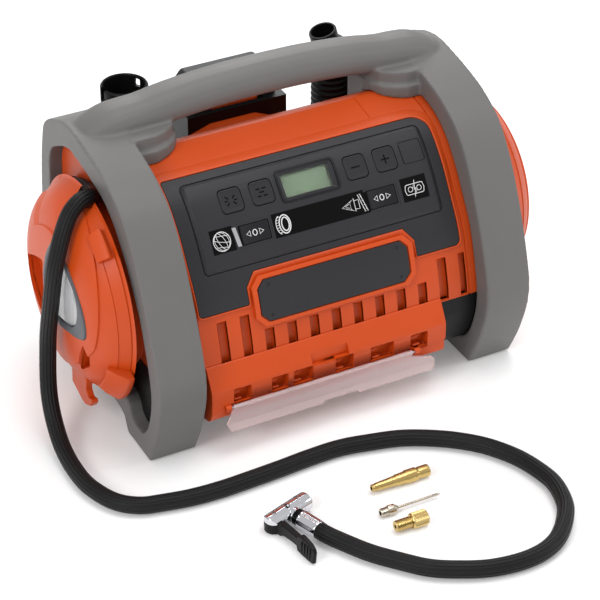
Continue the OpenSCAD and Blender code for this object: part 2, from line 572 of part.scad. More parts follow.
// everything on the far end of the hose stands in this frame: x along the head, y towards the body
module at_chuck() { translate(chuck_k) rotate([0, 0, chuck_a]) children(); }
module hose_ferrule() {
    color(chrome) at_origin() at_chuck() translate([14, 0, 0]) rotate([90, 0, 0]) difference() {
        union() {
            translate([0, 0, 6.6]) cylinder(h = 4.4, r = 5.2);
            translate([0, 0, 11]) cylinder(h = 16, r = 6.1);
        }
        for (z = [14, 17.5, 21]) translate([0, 0, z]) rotate_extrude() translate([5.5, 0]) square([2, 1.2]);
    }
}
module chuck_head() {
    color(chrome) at_origin() at_chuck() difference() {
        union() {
            difference() {
                translate([3, 0, 0]) rotate([0, 90, 0]) cylinder(h = 27, r = 6.5);
                translate([0, 0, -8]) cylinder(h = 16, r = 6.6);
            }
            translate([14, 0, 0]) rotate([90, 0, 0]) cylinder(h = 6.6, r = 5.2);
            // tongue that carries the lever
            translate([0, -3.4, -2]) cube([9, 6.8, 4]);
            translate([0, 0, -2]) cylinder(h = 4, r = 3.4);
        }
        // mouth that takes the tyre valve
        translate([22, 0, 0]) rotate([0, 90, 0]) cylinder(h = 9, r = 4.2);
        translate([17, 0, 0]) rotate([0, 90, 0]) cylinder(h = 5, r = 4.6);
        translate([9, 0, 0]) rotate([0, 90, 0]) cylinder(h = 10, r = 1.5);
        translate([0, 0, -8]) cylinder(h = 16, r = 1.52);
    }
}
module chuck_seal() {
    color(rubber) at_origin() at_chuck() difference() {
        translate([17, 0, 0]) rotate([0, 90, 0]) cylinder(h = 5, r = 4.56);
        translate([16, 0, 0]) rotate([0, 90, 0]) cylinder(h = 7, r = 2.4);
    }
}
module chuck_pin() {
    color(chrome) at_origin() at_chuck() translate([0, 0, -6.1]) cylinder(h = 12.2, r = 1.5);
}
module chuck_lever() {
    color(black) at_origin() at_chuck() difference() {
        union() {
            // two cheeks round the tongue, joined on the side of the arm
            for (z = [-5.9, 2.4]) translate([0, 0, z]) cylinder(h = 3.5, r = 6.2);
            translate([-3, -9, -5.6]) cube([5.6, 4.6, 11.2]);
            rotate([0, 0, 140]) rotate_extrude(angle = 150) translate([4.4, -2.6]) square([1.8, 5.2]);
            translate([0, 0, -5.6]) linear_extrude(11.2)
                polygon([[2.6, -8.6], [1.8, -17], [-0.2, -28], [-5.6, -44], [-8.4, -46.6], [-9.6, -45.6], [-7.6, -40], [-3.4, -28], [-1.8, -17], [-3, -8.6]]);
        }
        translate([0, 0, -6.5]) cylinder(h = 13, r = 1.56);
    }
}

// ---------- loose adapters, lying in front of the compressor ----------
module cone_nozzle() {
    color(brass) at_origin() translate([-26, -171.7, cone_d / 2]) rotate([0, 90, 0]) difference() {
        rotate_extrude() polygon([[0, 0], [2.4, 0], [2.7, 2], [3.5, 17], [3.5, 18], [4, 18], [4.2, 24], [4.2, 25], [cone_d / 2, 26],
            [cone_d / 2, 33], [4, 34], [4, 35], [4.2, 35.5], [4.2, 42.6], [0, 42.6]]);
        translate([0, 0, -1]) cylinder(h = 45, r = 1.4);
        translate([0, 0, 34]) cylinder(h = 10, r = 2.4);
    }
}
module ball_needle() {
    color(brass) at_origin() translate([-32.6, -195.5, 3.55]) rotate([0, 90, 0]) difference() {
        rotate_extrude() polygon([[0, 0], [3.1, 0], [3.1, 5], [3.55, 5], [3.55, 10.4], [2.2, 12.5], [0.9, 12.8], [0.9, 43], [0.5, 44.2], [0, 44.2]]);
        translate([0, 0, -1]) cylinder(h = 11, r = 1.6);
    }
}
module valve_adapter() {
    color(brass) at_origin() translate([-31.8, -213.5, valve_d / 2]) rotate([0, 90, 0]) difference() {
        rotate_extrude() polygon([[0, 0], [3.4, 0], [3.85, 0.6], [3.85, 11], [3.2, 11.6], [valve_d / 2 - 0.5, 11.6], [valve_d / 2, 12.2],
            [valve_d / 2, 22], [valve_d / 2 - 0.6, 22.8], [0, 22.8]]);
        translate([0, 0, 12]) cylinder(h = 12, r = 3.7);
        translate([0, 0, -1]) cylinder(h = 14, r = 1.3);
    }
}

// ---------- corrugated hose on the back ----------
lp_x = 79.5; lp_y = 84; lp_low = 46; lp_bend = 30; lp_top = 171;
module lp_run(r) {
    for (s = [-1, 1]) {
        translate([s * lp_x, lp_y, lp_low + lp_bend]) cylinder(h = lp_top - lp_low - lp_bend, r = r);
        translate([s * (lp_x - lp_bend), lp_y, lp_low + lp_bend]) rotate([90, 0, 0])
            rotate([0, 0, s > 0 ? -90 : 180]) rotate_extrude(angle = 90) translate([lp_bend, 0]) circle(r = r);
    }
    rod_x(-(lp_x - lp_bend), lp_x - lp_bend, lp_y, lp_low, r);
}
module lp_hose() {
    color(rubber) at_origin() difference() { lp_run(lp_d / 2); lp_run(lp_d / 2 - 2.5); }
}
module lp_connector() {
    color(rubber) at_origin() translate([-lp_x, lp_y, lp_top]) difference() {
        union() { cylinder(h = 5, r = lp_d / 2); translate([0, 0, 5]) cylinder(h = 18, r = 16.5); }
        translate([0, 0, 8]) cylinder(h = 20, r = 14.1);
        translate([0, 0, -1]) cylinder(h = 12, r = 10);
        translate([-18, -3, 17]) cube([6, 6, 12]);
    }
}
module lp_nozzle() {
    color(rubber) at_origin() translate([lp_x, lp_y, lp_top]) difference() {
        union() {
            cylinder(h = 4, r = lp_d / 2);
            translate([0, 0, 4]) rotate([0, -16, 0]) { cylinder(h = 12, r = 13.4); cylinder(h = 24, r = 10); }
        }
        translate([0, 0, 4]) rotate([0, -16, 0]) translate([0, 0, -2]) cylinder(h = 30, r = 8);
        translate([0, 0, -1]) cylinder(h = 6, r = 8);
    }
}
module lp_clips() {
    color(black) at_origin() for (s = [-1, 1]) for (z = [90, 117]) difference() {
        union() {
            translate([s * lp_x, lp_y, z]) cylinder(h = 12, r = lp_d / 2 + 3);
            block(s * lp_x - 9, s * lp_x + 9, rear_y - 2, lp_y - 8, z, z + 12);
        }
        translate([s * lp_x, lp_y, z - 1]) cylinder(h = 14, r = lp_d / 2 + 0.1);
        block(s * lp_x - 10, s * lp_x + 10, lp_y + 8, lp_y + 30, z - 1, z + 13);
        along_x(-150, 150, concat([[0, 60], [0, 178], [20, 179.61]], rear_line, [[rear_y, 60]]));
    }
}

// ---------- battery ----------
module battery_dock() {
    color(black) at_origin() difference() {
        union() {
            block(-43, 33, rear_y + 0.02, 70.6, 92, 168);
            for (s = [-1, 1]) translate([-5, 0, 0]) {
                block(s > 0 ? 34.6 : -38, s > 0 ? 38 : -34.6, 70, 84, 92, 168);
                block(s > 0 ? 31.8 : -38, s > 0 ? 38 : -31.8, 76, 79.6, 92, 160);
            }
            block(-43, 33, 70, 90, 89, 95.6);
        }
        for (x = [-18, -6, 6, 18]) block(x - 0.9, x + 0.9, 60, 72, 103, 113);
        block(-24, 17, 66, 72, 150, 176);
    }
}
module battery_pack() {
    color([0.14, 0.14, 0.15]) at_origin() difference() {
        intersection() {
            block(-39.2, 29.2, 71, 99, 96, 187);
            along_y(60, 110, [[-39.2, 90], [-39.2, 177], [-31, 187], [25, 187], [29.2, 181], [29.2, 90]]);
        }
        // rail grooves, open at the lower end
        for (s = [-1, 1]) translate([-5, 0, 0]) block(s > 0 ? 31.4 : -40, s > 0 ? 40 : -31.4, 75.6, 80, 90, 160.5);
        for (x = [-18, -6, 6, 18]) block(x - 1, x + 1, 68, 80, 90, 114);
        block(-21.6, 14.6, 68, 79, 157.4, 168.6);
    }
}
module battery_latch() {
    color(orange) at_origin() union() { block(-21, 14, 69.6, 75, 158, 168); block(-15, 8, 75, 76, 160, 166); }
}
module dock_terminals() {
    color(chrome) at_origin() for (x = [-18, -6, 6, 18]) block(x - 0.5, x + 0.5, 57, 78, 104, 112);
}

// ---------- compressor drive ----------
motor_y = -15; motor_z = 66; crank_z = motor_z + 32;
module compressor_motor() {
    color([0.6, 0.6, 0.62]) at_origin() difference() {
        union() { rod_x(-94, -42, motor_y, motor_z, 24); rod_x(-42, -38, motor_y, motor_z, 9); rod_x(-98, -94, motor_y, motor_z, 8); }
        rod_x(-62, -37, motor_y, motor_z, 2.56);
    }
}
module motor_pinion() {
    color(chrome) at_origin() union() {
        translate([-31, motor_y, motor_z]) rotate([0, 90, 0]) rotate([0, 0, 15]) gear(12, 0.75, 1, 6.4, 0.16);
        rod_x(-60, -30.9, motor_y, motor_z, 2.5);
    }
}
module crank_gear() {
    color([0.75, 0.72, 0.66]) at_origin() difference() {
        union() {
            translate([-30.5, motor_y, crank_z]) rotate([0, 90, 0]) gear(52, 0.75, 1, 5.5, 0.16);
            rod_x(-41, -30.4, motor_y, crank_z, 4);
            rod_x(-25.1, -15, motor_y + 8, crank_z, 3);
        }
        for (a = [60:60:300]) translate([-32, motor_y + 16 * cos(a), crank_z + 16 * sin(a)]) rotate([0, 90, 0]) cylinder(h = 9, r = 4.5);
    }
}
module cylinder_block() {
    color([0.7, 0.7, 0.72]) at_origin() difference() {
        union() {
            block(-38, -34, -36, 44, 35.2, 124);
            block(-38, 4, 16, 40, 84, 112);
            block(-23.6, 4, -3, 40, 84, 112);
        }
        rod_x(-39, -33, motor_y, crank_z, 4.06);
        rod_x(-39, -33, motor_y, motor_z, 9.2);
        rod_y(-10, -4, 27, crank_z, 12.05);
        rod_y(-10, 26, 41, crank_z, 3);
        for (y = [17, 21, 25, 29, 33, 37]) block(-23, 5, y, y + 1.6, 106, 113);
    }
}
module piston() {
    color(chrome) at_origin() difference() {
        union() {
            rod_y(-10, 14, 24, crank_z, 12);
            block(-13, -7, -7, 15, crank_z - 3.5, crank_z + 3.5);
            rod_x(-13.4, -6.6, -7, crank_z, 6);
        }
        rod_x(-14, -6, -7, crank_z, 3.1);
    }
}

// ---------- low-pressure blower ----------
blow_y = -5; blow_z = 98;
module blower_housing() {
    color([0.3, 0.3, 0.32]) at_origin() difference() {
        union() {
            rod_x(24, 66, blow_y, blow_z, 40);
            rod_x(66, 100, blow_y, blow_z, 20);
            block(38, 52, -24, 14, 35.2, 70);
        }
        rod_x(26, 64, blow_y, blow_z, 38);
        rod_x(22, 27, blow_y, blow_z, 16);
        rod_x(63, 90, blow_y, blow_z, 3.06);
    }
}
module blower_impeller() {
    color([0.85, 0.85, 0.86]) at_origin() union() {
        rod_x(56, 59, blow_y, blow_z, 35);
        rod_x(32, 86, blow_y, blow_z, 3);
        rod_x(40, 57, blow_y, blow_z, 8);
        for (k = [0:11]) translate([32, blow_y, blow_z]) rotate([30 * k, 0, 0]) translate([0, 18, -0.8]) cube([25, 16, 1.6]);
    }
}
module main_board() {
    color([0.1, 0.35, 0.2]) at_origin() union() {
        block(-62, 62, 50, 51.6, 44, 122);
        rod_y(40, 42, 50.1, 60, 6);
        rod_y(55, 42, 50.1, 60, 6);
        block(-56, -44, 44, 50.1, 50, 80);
        block(-24, -4, 46, 50.1, 54, 70);
        for (x = [-50, -20, 20, 50]) rod_y(x, 51.5, rear_y - wall, 118, 2.5);
    }
}

left_hoop();
right_hoop();
handle_upper();
handle_lower();
foot_pads();
front_housing();
rear_housing();
chassis_base();
left_drum();
right_drum();
left_end_cap();
right_end_cap();
frame_screws();
control_panel();
icon_strip();
lcd_window();
lcd_module();
mode_button();
unit_button();
minus_button();
plus_button();
high_rocker();
lp_rocker();
rocker_frames();
panel_board();
name_plate();
lamp_bezel();
lamp_lens();
lamp_reflector();
lamp_led();
accessory_tray();
accessory_lid();
lid_pins();
air_hose();
hose_gland();
hose_ferrule();
chuck_head();
chuck_lever();
chuck_pin();
chuck_seal();
cone_nozzle();
ball_needle();
valve_adapter();
lp_hose();
lp_connector();
lp_nozzle();
lp_clips();
battery_dock();
battery_pack();
battery_latch();
dock_terminals();
compressor_motor();
motor_pinion();
crank_gear();
cylinder_block();
piston();
blower_housing();
blower_impeller();
main_board();
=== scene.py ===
"""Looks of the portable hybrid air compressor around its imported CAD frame."""
import json
import math

import bmesh
import bpy
import numpy as np
from mathutils import Matrix, Vector

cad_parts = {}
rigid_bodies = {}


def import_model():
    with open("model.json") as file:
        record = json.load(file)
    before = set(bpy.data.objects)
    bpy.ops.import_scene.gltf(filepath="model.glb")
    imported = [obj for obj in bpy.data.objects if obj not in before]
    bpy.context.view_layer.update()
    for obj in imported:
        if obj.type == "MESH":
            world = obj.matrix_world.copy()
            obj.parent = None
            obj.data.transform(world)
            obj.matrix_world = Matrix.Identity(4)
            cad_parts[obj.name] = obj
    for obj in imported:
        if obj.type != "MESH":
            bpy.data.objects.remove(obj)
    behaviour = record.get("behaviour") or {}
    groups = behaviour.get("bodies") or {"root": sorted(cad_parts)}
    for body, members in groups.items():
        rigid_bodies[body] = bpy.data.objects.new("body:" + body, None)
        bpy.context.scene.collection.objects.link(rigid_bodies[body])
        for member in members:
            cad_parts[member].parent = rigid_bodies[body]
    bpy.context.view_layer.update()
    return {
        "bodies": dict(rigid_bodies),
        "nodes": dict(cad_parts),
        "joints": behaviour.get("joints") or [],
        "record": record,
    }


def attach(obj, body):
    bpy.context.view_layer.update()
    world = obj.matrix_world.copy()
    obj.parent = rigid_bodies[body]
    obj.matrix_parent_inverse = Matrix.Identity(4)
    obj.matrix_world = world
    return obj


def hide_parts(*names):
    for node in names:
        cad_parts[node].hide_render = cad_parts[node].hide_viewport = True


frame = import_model()
N = frame["nodes"]
YS = 60.0  # the curves below are in mm in the body's own frame; the object stands 60 mm further back


# ------------------------------------------------------------------ camera
cam_data = bpy.data.cameras.new("camera")
cam = bpy.data.objects.new("camera", cam_data)
bpy.context.scene.collection.objects.link(cam)
cam.location = (-0.6140, -1.1352, 0.9456)
look = Vector((math.sin(math.radians(27.617)) * math.cos(math.radians(33.911)),
               math.cos(math.radians(27.617)) * math.cos(math.radians(33.911)),
               -math.sin(math.radians(33.911))))
cam.rotation_euler = look.to_track_quat("-Z", "Y").to_euler()
cam_data.lens = 138.45
cam_data.sensor_width = 36
cam_data.clip_start, cam_data.clip_end = 0.05, 20
bpy.context.scene.camera = cam


# ------------------------------------------------------------------ materials
def material(name, color, rough=0.45, metal=0.0, grain=0.0, grain_scale=900.0, vary=0.0, coat=0.0,
             rough_vary=0.0, spec=0.5, sheen=0.0, wear=None, stretch=None):
    m = bpy.data.materials.new(name)
    m.use_nodes = True
    nt = m.node_tree
    b = nt.nodes["Principled BSDF"]
    lin = [c / 12.92 if c <= 0.04045 else ((c + 0.055) / 1.055) ** 2.4 for c in color]
    b.inputs["Base Color"].default_value = (*lin, 1)
    b.inputs["Roughness"].default_value = rough
    b.inputs["Metallic"].default_value = metal
    b.inputs["Specular IOR Level"].default_value = spec
    if coat:
        b.inputs["Coat Weight"].default_value = coat
        b.inputs["Coat Roughness"].default_value = 0.15
    if sheen:
        b.inputs["Sheen Weight"].default_value = sheen
    tc = nt.nodes.new("ShaderNodeTexCoord")
    mp = nt.nodes.new("ShaderNodeMapping")
    nt.links.new(tc.outputs["Object"], mp.inputs["Vector"])
    if stretch:
        mp.inputs["Scale"].default_value = stretch
    if vary or wear:
        n1 = nt.nodes.new("ShaderNodeTexNoise")
        n1.inputs["Scale"].default_value = 14
        n1.inputs["Detail"].default_value = 4
        nt.links.new(mp.outputs["Vector"], n1.inputs["Vector"])
        ramp = nt.nodes.new("ShaderNodeValToRGB")
        ramp.color_ramp.elements[0].position = 0.3
        ramp.color_ramp.elements[1].position = 0.7
        ramp.color_ramp.elements[0].color = (*[c * (1 - vary) for c in lin], 1)
        ramp.color_ramp.elements[1].color = (*[min(1, c * (1 + vary)) for c in lin], 1)
        nt.links.new(n1.outputs["Fac"], ramp.inputs["Fac"])
        out = ramp.outputs["Color"]
        if wear:
            geo = nt.nodes.new("ShaderNodeNewGeometry")
            r2 = nt.nodes.new("ShaderNodeValToRGB")
            r2.color_ramp.elements[0].position = 0.52
            r2.color_ramp.elements[1].position = 0.6
            r2.color_ramp.elements[0].color = (0, 0, 0, 1)
            r2.color_ramp.elements[1].color = (wear, wear, wear, 1)
            nt.links.new(geo.outputs["Pointiness"], r2.inputs["Fac"])
            mx = nt.nodes.new("ShaderNodeMix")
            mx.data_type = "RGBA"
            nt.links.new(r2.outputs["Color"], mx.inputs[0])
            nt.links.new(out, mx.inputs[6])
            mx.inputs[7].default_value = (*[min(1, c * 1.5 + 0.06) for c in lin], 1)
            out = mx.outputs[2]
        nt.links.new(out, b.inputs["Base Color"])
    if rough_vary:
        n3 = nt.nodes.new("ShaderNodeTexNoise")
        n3.inputs["Scale"].default_value = 60
        n3.inputs["Detail"].default_value = 3
        nt.links.new(mp.outputs["Vector"], n3.inputs["Vector"])
        mr = nt.nodes.new("ShaderNodeMapRange")
        mr.inputs["To Min"].default_value = rough - rough_vary
        mr.inputs["To Max"].default_value = rough + rough_vary
        nt.links.new(n3.outputs["Fac"], mr.inputs["Value"])
        nt.links.new(mr.outputs["Result"], b.inputs["Roughness"])
    if grain:
        n2 = nt.nodes.new("ShaderNodeTexNoise")
        n2.inputs["Scale"].default_value = grain_scale
        n2.inputs["Detail"].default_value = 2
        nt.links.new(mp.outputs["Vector"], n2.inputs["Vector"])
        bump = nt.nodes.new("ShaderNodeBump")
        bump.inputs["Strength"].default_value = grain
        bump.inputs["Distance"].default_value = 0.0004
        nt.links.new(n2.outputs["Fac"], bump.inputs["Height"])
        nt.links.new(bump.outputs["Normal"], b.inputs["Normal"])
    return m


M = {
    "grey": material("hoop_grey", (0.41, 0.405, 0.40), 0.5, spec=0.35, grain=0.25, grain_scale=1300, vary=0.03, rough_vary=0.05),
    "orange": material("orange_shell", (0.78, 0.278, 0.052), 0.42, spec=0.36, grain=0.22, grain_scale=1300, vary=0.03, rough_vary=0.05),
    "panel": material("panel_grey", (0.165, 0.165, 0.178), 0.42, spec=0.28, grain=0.3, grain_scale=1600, vary=0.04, rough_vary=0.05),
    "key": material("key_grey", (0.15, 0.15, 0.165), 0.48, spec=0.25, grain=0.35, grain_scale=1900, vary=0.04),
    "black": material("black_plastic", (0.045, 0.045, 0.048), 0.42, spec=0.2, grain=0.3, grain_scale=1300, vary=0.05, rough_vary=0.05),
    "gloss": material("gloss_black", (0.02, 0.02, 0.022), 0.3, spec=0.12, vary=0.03),
    "rubber": material("soft_rubber", (0.12, 0.12, 0.125), 0.7, grain=0.5, grain_scale=900, vary=0.05),
    "hose": material("hose_rubber", (0.075, 0.075, 0.08), 0.4, spec=0.22, grain=0.4, grain_scale=2600, vary=0.06, rough_vary=0.06),
    "lphose": material("corrugated_rubber", (0.05, 0.05, 0.053), 0.45, spec=0.22, grain=0.3, grain_scale=1500, vary=0.05),
    "battery": material("battery_plastic", (0.15, 0.15, 0.16), 0.46, spec=0.25, grain=0.35, grain_scale=1300, vary=0.05, rough_vary=0.05),
    "chrome": material("chrome_plate", (0.86, 0.86, 0.88), 0.1, 1.0, grain=0.06, grain_scale=400, vary=0.04, rough_vary=0.03),
    "steel": material("steel", (0.66, 0.66, 0.68), 0.32, 1.0, grain=0.1, grain_scale=1200, vary=0.05, rough_vary=0.06),
    "brass": material("brass", (0.80, 0.69, 0.44), 0.26, 1.0, grain=0.12, grain_scale=900, vary=0.06, rough_vary=0.06),
    "nickel": material("nickel", (0.78, 0.74, 0.68), 0.2, 1.0, grain=0.12, grain_scale=900, vary=0.05, rough_vary=0.05),
    "white": material("white_print", (0.86, 0.86, 0.86), 0.55, vary=0.03),
    "silver": material("silver_print", (0.62, 0.62, 0.63), 0.4, vary=0.05),
    "lcd": material("lcd_glass", (0.50, 0.57, 0.47), 0.35, vary=0.02, grain=0.05),
    "led": material("led_white", (0.95, 0.95, 0.9), 0.4, vary=0.02, grain=0.1),
    "board": material("circuit_board", (0.08, 0.3, 0.17), 0.45, vary=0.1, grain=0.3, grain_scale=500),
    "gear": material("gear_plastic", (0.82, 0.8, 0.74), 0.5, vary=0.03, grain=0.1),
    "alu": material("cast_aluminium", (0.68, 0.68, 0.69), 0.45, 1.0, grain=0.6, grain_scale=700, vary=0.05),
    "motor": material("motor_can", (0.52, 0.52, 0.54), 0.35, 1.0, grain=0.2, vary=0.05),
}


def glass(name, color, rough, alpha_mix, ior=1.49):
    m = bpy.data.materials.new(name)
    m.use_nodes = True
    nt = m.node_tree
    b = nt.nodes["Principled BSDF"]
    b.inputs["Base Color"].default_value = (*color, 1)
    b.inputs["Roughness"].default_value = rough
    b.inputs["Transmission Weight"].default_value = alpha_mix
    b.inputs["IOR"].default_value = ior
    tc = nt.nodes.new("ShaderNodeTexCoord")
    n2 = nt.nodes.new("ShaderNodeTexNoise")
    n2.inputs["Scale"].default_value = 300
    nt.links.new(tc.outputs["Object"], n2.inputs["Vector"])
    bump = nt.nodes.new("ShaderNodeBump")
    bump.inputs["Strength"].default_value = 0.04
    bump.inputs["Distance"].default_value = 0.0002
    nt.links.new(n2.outputs["Fac"], bump.inputs["Height"])
    nt.links.new(bump.outputs["Normal"], b.inputs["Normal"])
    return m


M["clear"] = glass("clear_lid", (1.0, 0.84, 0.84), 0.16, 0.7, 1.28)
M["lens"] = glass("clear_lens", (0.99, 0.99, 1.0), 0.07, 0.6, 1.45)
M["window"] = glass("lcd_window", (0.95, 1.0, 0.95), 0.05, 0.97, 1.2)


# ------------------------------------------------------------------ mesh helpers
def obj_from(name, verts, faces, shift=True):
    """A mesh object in metres from vertices in mm."""
    v = np.asarray(verts, float).reshape(-1, 3)
    if shift:
        v = v + [0, YS, 0]
    me = bpy.data.meshes.new(name)
    me.from_pydata((v * 0.001).tolist(), [], [[int(i) for i in f] for f in faces])
    me.update()
    o = bpy.data.objects.new(name, me)
    bpy.context.scene.collection.objects.link(o)
    return o


def raw(parts):
    """Joins (verts, faces) parts, in mm, without moving them."""
    V, Fc, n = [], [], 0
    for v, f in parts:
        v = np.asarray(v, float).reshape(-1, 3)
        V.append(v)
        Fc += [[int(i) + n for i in q] for q in f]
        n += len(v)
    return np.concatenate(V), Fc


def temp(parts, name="temp"):
    """An object whose units are mm, for flat work."""
    v, f = raw(parts)
    me = bpy.data.meshes.new(name)
    me.from_pydata(v.tolist(), [], f)
    me.update()
    o = bpy.data.objects.new(name, me)
    bpy.context.scene.collection.objects.link(o)
    return o


def evaluated(o):
    dg = bpy.context.evaluated_depsgraph_get()
    e = o.evaluated_get(dg)
    me = e.to_mesh()
    v = np.array([x.co[:] for x in me.vertices])
    f = [list(p.vertices) for p in me.polygons]
    e.to_mesh_clear()
    return v, f


def drop(o):
    me = o.data
    bpy.data.objects.remove(o)
    if me.users == 0:
        bpy.data.meshes.remove(me)


def cut(parts, cutters, op="DIFFERENCE"):
    a, b = temp(parts, "a"), temp(cutters, "b")
    m = a.modifiers.new("b", "BOOLEAN")
    m.operation, m.object, m.solver = op, b, "EXACT"
    m.use_self = True
    out = evaluated(a)
    drop(a), drop(b)
    return out


def rounded(part, width, segments=2, angle=30, weld=0.001):
    o = temp([part])
    w = o.modifiers.new("w", "WELD")
    w.merge_threshold = weld
    d = o.modifiers.new("d", "DECIMATE")
    d.decimate_type = "DISSOLVE"
    d.angle_limit = math.radians(0.5)
    m = o.modifiers.new("b", "BEVEL")
    m.width, m.segments, m.limit_method, m.angle_limit = width, segments, "ANGLE", math.radians(angle)
    m.use_clamp_overlap = True
    out = evaluated(o)
    drop(o)
    return out


def poly_area(p):
    p = np.asarray(p, float)
    return 0.5 * float(np.sum(p[:, 0] * np.roll(p[:, 1], -1) - np.roll(p[:, 0], -1) * p[:, 1]))


def loft(polys, caps=(True, True)):
    """polys: rings of 3-D points, all the same length, counter-clockwise seen from the far end."""
    n = len(polys[0])
    V = np.concatenate([np.asarray(p, float) for p in polys])
    Fc = []
    for j in range(len(polys) - 1):
        for i in range(n):
            a, b = j * n + i, j * n + (i + 1) % n
            Fc.append([a, b, b + n, a + n])
    if caps[0]:
        Fc.append(list(range(n - 1, -1, -1)))
    if caps[1]:
        Fc.append(list(range((len(polys) - 1) * n, len(polys) * n)))
    return V, Fc


def prism(poly, w0, w1, axis=2):
    """A closed prism. axis 2: poly in (x, y); axis 0: poly in (y, z) drawn along x; axis 1: poly in (x, z) along y."""
    p = np.asarray(poly, float)
    if poly_area(p) < 0:
        p = p[::-1]
    if axis == 1:
        p = p[::-1]
    def at(w):
        q = np.zeros((len(p), 3))
        if axis == 2:
            q[:, 0], q[:, 1], q[:, 2] = p[:, 0], p[:, 1], w
        elif axis == 0:
            q[:, 0], q[:, 1], q[:, 2] = w, p[:, 0], p[:, 1]
        else:
            q[:, 0], q[:, 1], q[:, 2] = p[:, 0], w, p[:, 1]
        return q
    return loft([at(min(w0, w1)), at(max(w0, w1))])


def cube(x0, x1, y0, y1, z0, z1):
    return prism([[x0, y0], [x1, y0], [x1, y1], [x0, y1]], z0, z1)


def arc(cx, cy, r, a0, a1, n):
    return [[cx + r * math.cos(math.radians(a0 + (a1 - a0) * k / n)),
             cy + r * math.sin(math.radians(a0 + (a1 - a0) * k / n))] for k in range(n + 1)]


def rrect(w, h, r, n=6, cx=0.0, cy=0.0):
    p = arc(w / 2 - r, h / 2 - r, r, 0, 90, n) + arc(r - w / 2, h / 2 - r, r, 90, 180, n) \
        + arc(r - w / 2, r - h / 2, r, 180, 270, n) + arc(w / 2 - r, r - h / 2, r, 270, 360, n)
    return [[x + cx, y + cy] for x, y in p]


def round_poly(p, r, n=4):
    """Rounds each corner of a closed outline; r is one radius or one for each corner."""
    p = np.asarray(p, float)
    rr = r if hasattr(r, "__len__") else [r] * len(p)
    out = []
    for i in range(len(p)):
        a, b, c = p[i - 1], p[i], p[(i + 1) % len(p)]
        u, v = (a - b) / np.linalg.norm(a - b), (c - b) / np.linalg.norm(c - b)
        half = math.acos(max(-1, min(1, float(u @ v)))) / 2
        if rr[i] <= 0.01 or half > math.radians(88):
            out.append(b)
            continue
        d = rr[i] / math.tan(half)
        d = min(d, 0.48 * np.linalg.norm(a - b), 0.48 * np.linalg.norm(c - b))
        r0 = d * math.tan(half)
        o = b + (u + v) / np.linalg.norm(u + v) * (r0 / math.sin(half))
        s, e = b + u * d - o, b + v * d - o
        a0, a1 = math.atan2(s[1], s[0]), math.atan2(e[1], e[0])
        da = (a1 - a0 + math.pi) % (2 * math.pi) - math.pi
        for k in range(n + 1):
            t = a0 + da * k / n
            out.append(o + r0 * np.array([math.cos(t), math.sin(t)]))
    return np.array(out)


def grow(p, d):
    """An outline moved outwards by d, one number or one for each point; counter-clockwise outline."""
    p = np.asarray(p, float)
    if poly_area(p) < 0:
        p = p[::-1]
    t = np.roll(p, -1, 0) - np.roll(p, 1, 0)
    t /= np.maximum(np.linalg.norm(t, axis=1), 1e-9)[:, None]
    nrm = np.stack([t[:, 1], -t[:, 0]], 1)
    return p + nrm * (np.asarray(d, float).reshape(-1, 1) if hasattr(d, "__len__") else d)


def finish_mesh(o, mat, body="root", replaces=(), bevel=0, angle=30, smooth=True, wn=True, seg=2):
    o.data.materials.clear()
    o.data.materials.append(M[mat])
    if smooth:
        o.data.shade_smooth()
        o.data.set_sharp_from_angle(angle=math.radians(50 if bevel or wn else 35))
    if bevel:
        m = o.modifiers.new("bevel", "BEVEL")
        m.width, m.segments, m.limit_method, m.angle_limit = bevel * 0.001, seg, "ANGLE", math.radians(angle)
        m.use_clamp_overlap = True
    if wn:
        w = o.modifiers.new("wn", "WEIGHTED_NORMAL")
        w.keep_sharp = True
    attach(o, body)
    if replaces:
        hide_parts(*replaces)
    return o


def lathe(profile, n=64, radial=None, a0=0.0):
    """profile: (radius, height) up the Z axis; radial(angle, r, h) may change the radius."""
    prof = [p for p in profile]
    V, Fc = [], []
    for r, h in prof:
        for k in range(n):
            a = a0 + 2 * math.pi * k / n
            rr = r if radial is None or r < 1e-6 else radial(a, r, h)
            V.append([rr * math.cos(a), rr * math.sin(a), h])
    for j in range(len(prof) - 1):
        for k in range(n):
            a, b = j * n + k, j * n + (k + 1) % n
            if prof[j][0] < 1e-6 and prof[j + 1][0] < 1e-6:
                continue
            if prof[j][0] < 1e-6:
                Fc.append([a, b + n, a + n])
            elif prof[j + 1][0] < 1e-6:
                Fc.append([a, b, a + n])
            else:
                Fc.append([a, b, b + n, a + n])
    V = np.array(V)
    # closed profiles (a ring) join their ends; open ones get caps unless they end on the axis
    if prof[0][0] > 1e-6 and abs(prof[0][0] - prof[-1][0]) < 1e-9 and abs(prof[0][1] - prof[-1][1]) < 1e-9:
        pass
    else:
        if prof[0][0] > 1e-6:
            Fc.append(list(range(n - 1, -1, -1)))
        if prof[-1][0] > 1e-6:
            Fc.append([(len(prof) - 1) * n + k for k in range(n)])
    return clean((V, Fc))


def clean(part, dist=1e-4):
    """Welds points that meet, drops empty faces and makes the faces look outwards."""
    me = bpy.data.meshes.new("c")
    me.from_pydata(np.asarray(part[0]).tolist(), [], part[1])
    bm = bmesh.new()
    bm.from_mesh(me)
    bmesh.ops.remove_doubles(bm, verts=bm.verts, dist=dist)
    bmesh.ops.dissolve_degenerate(bm, edges=bm.edges, dist=dist)
    bmesh.ops.recalc_face_normals(bm, faces=bm.faces)
    bm.to_mesh(me)
    bm.free()
    v = np.array([x.co[:] for x in me.vertices])
    f = [list(p.vertices) for p in me.polygons]
    bpy.data.meshes.remove(me)
    return v, f


def moved(part, rot=None, off=(0, 0, 0)):
    v = np.asarray(part[0], float)
    if rot is not None:
        v = v @ np.array(rot).T
    return v + np.array(off, float), part[1]


RX = [[0, 0, 1], [1, 0, 0], [0, 1, 0]]      # z -> x, x -> y, y -> z


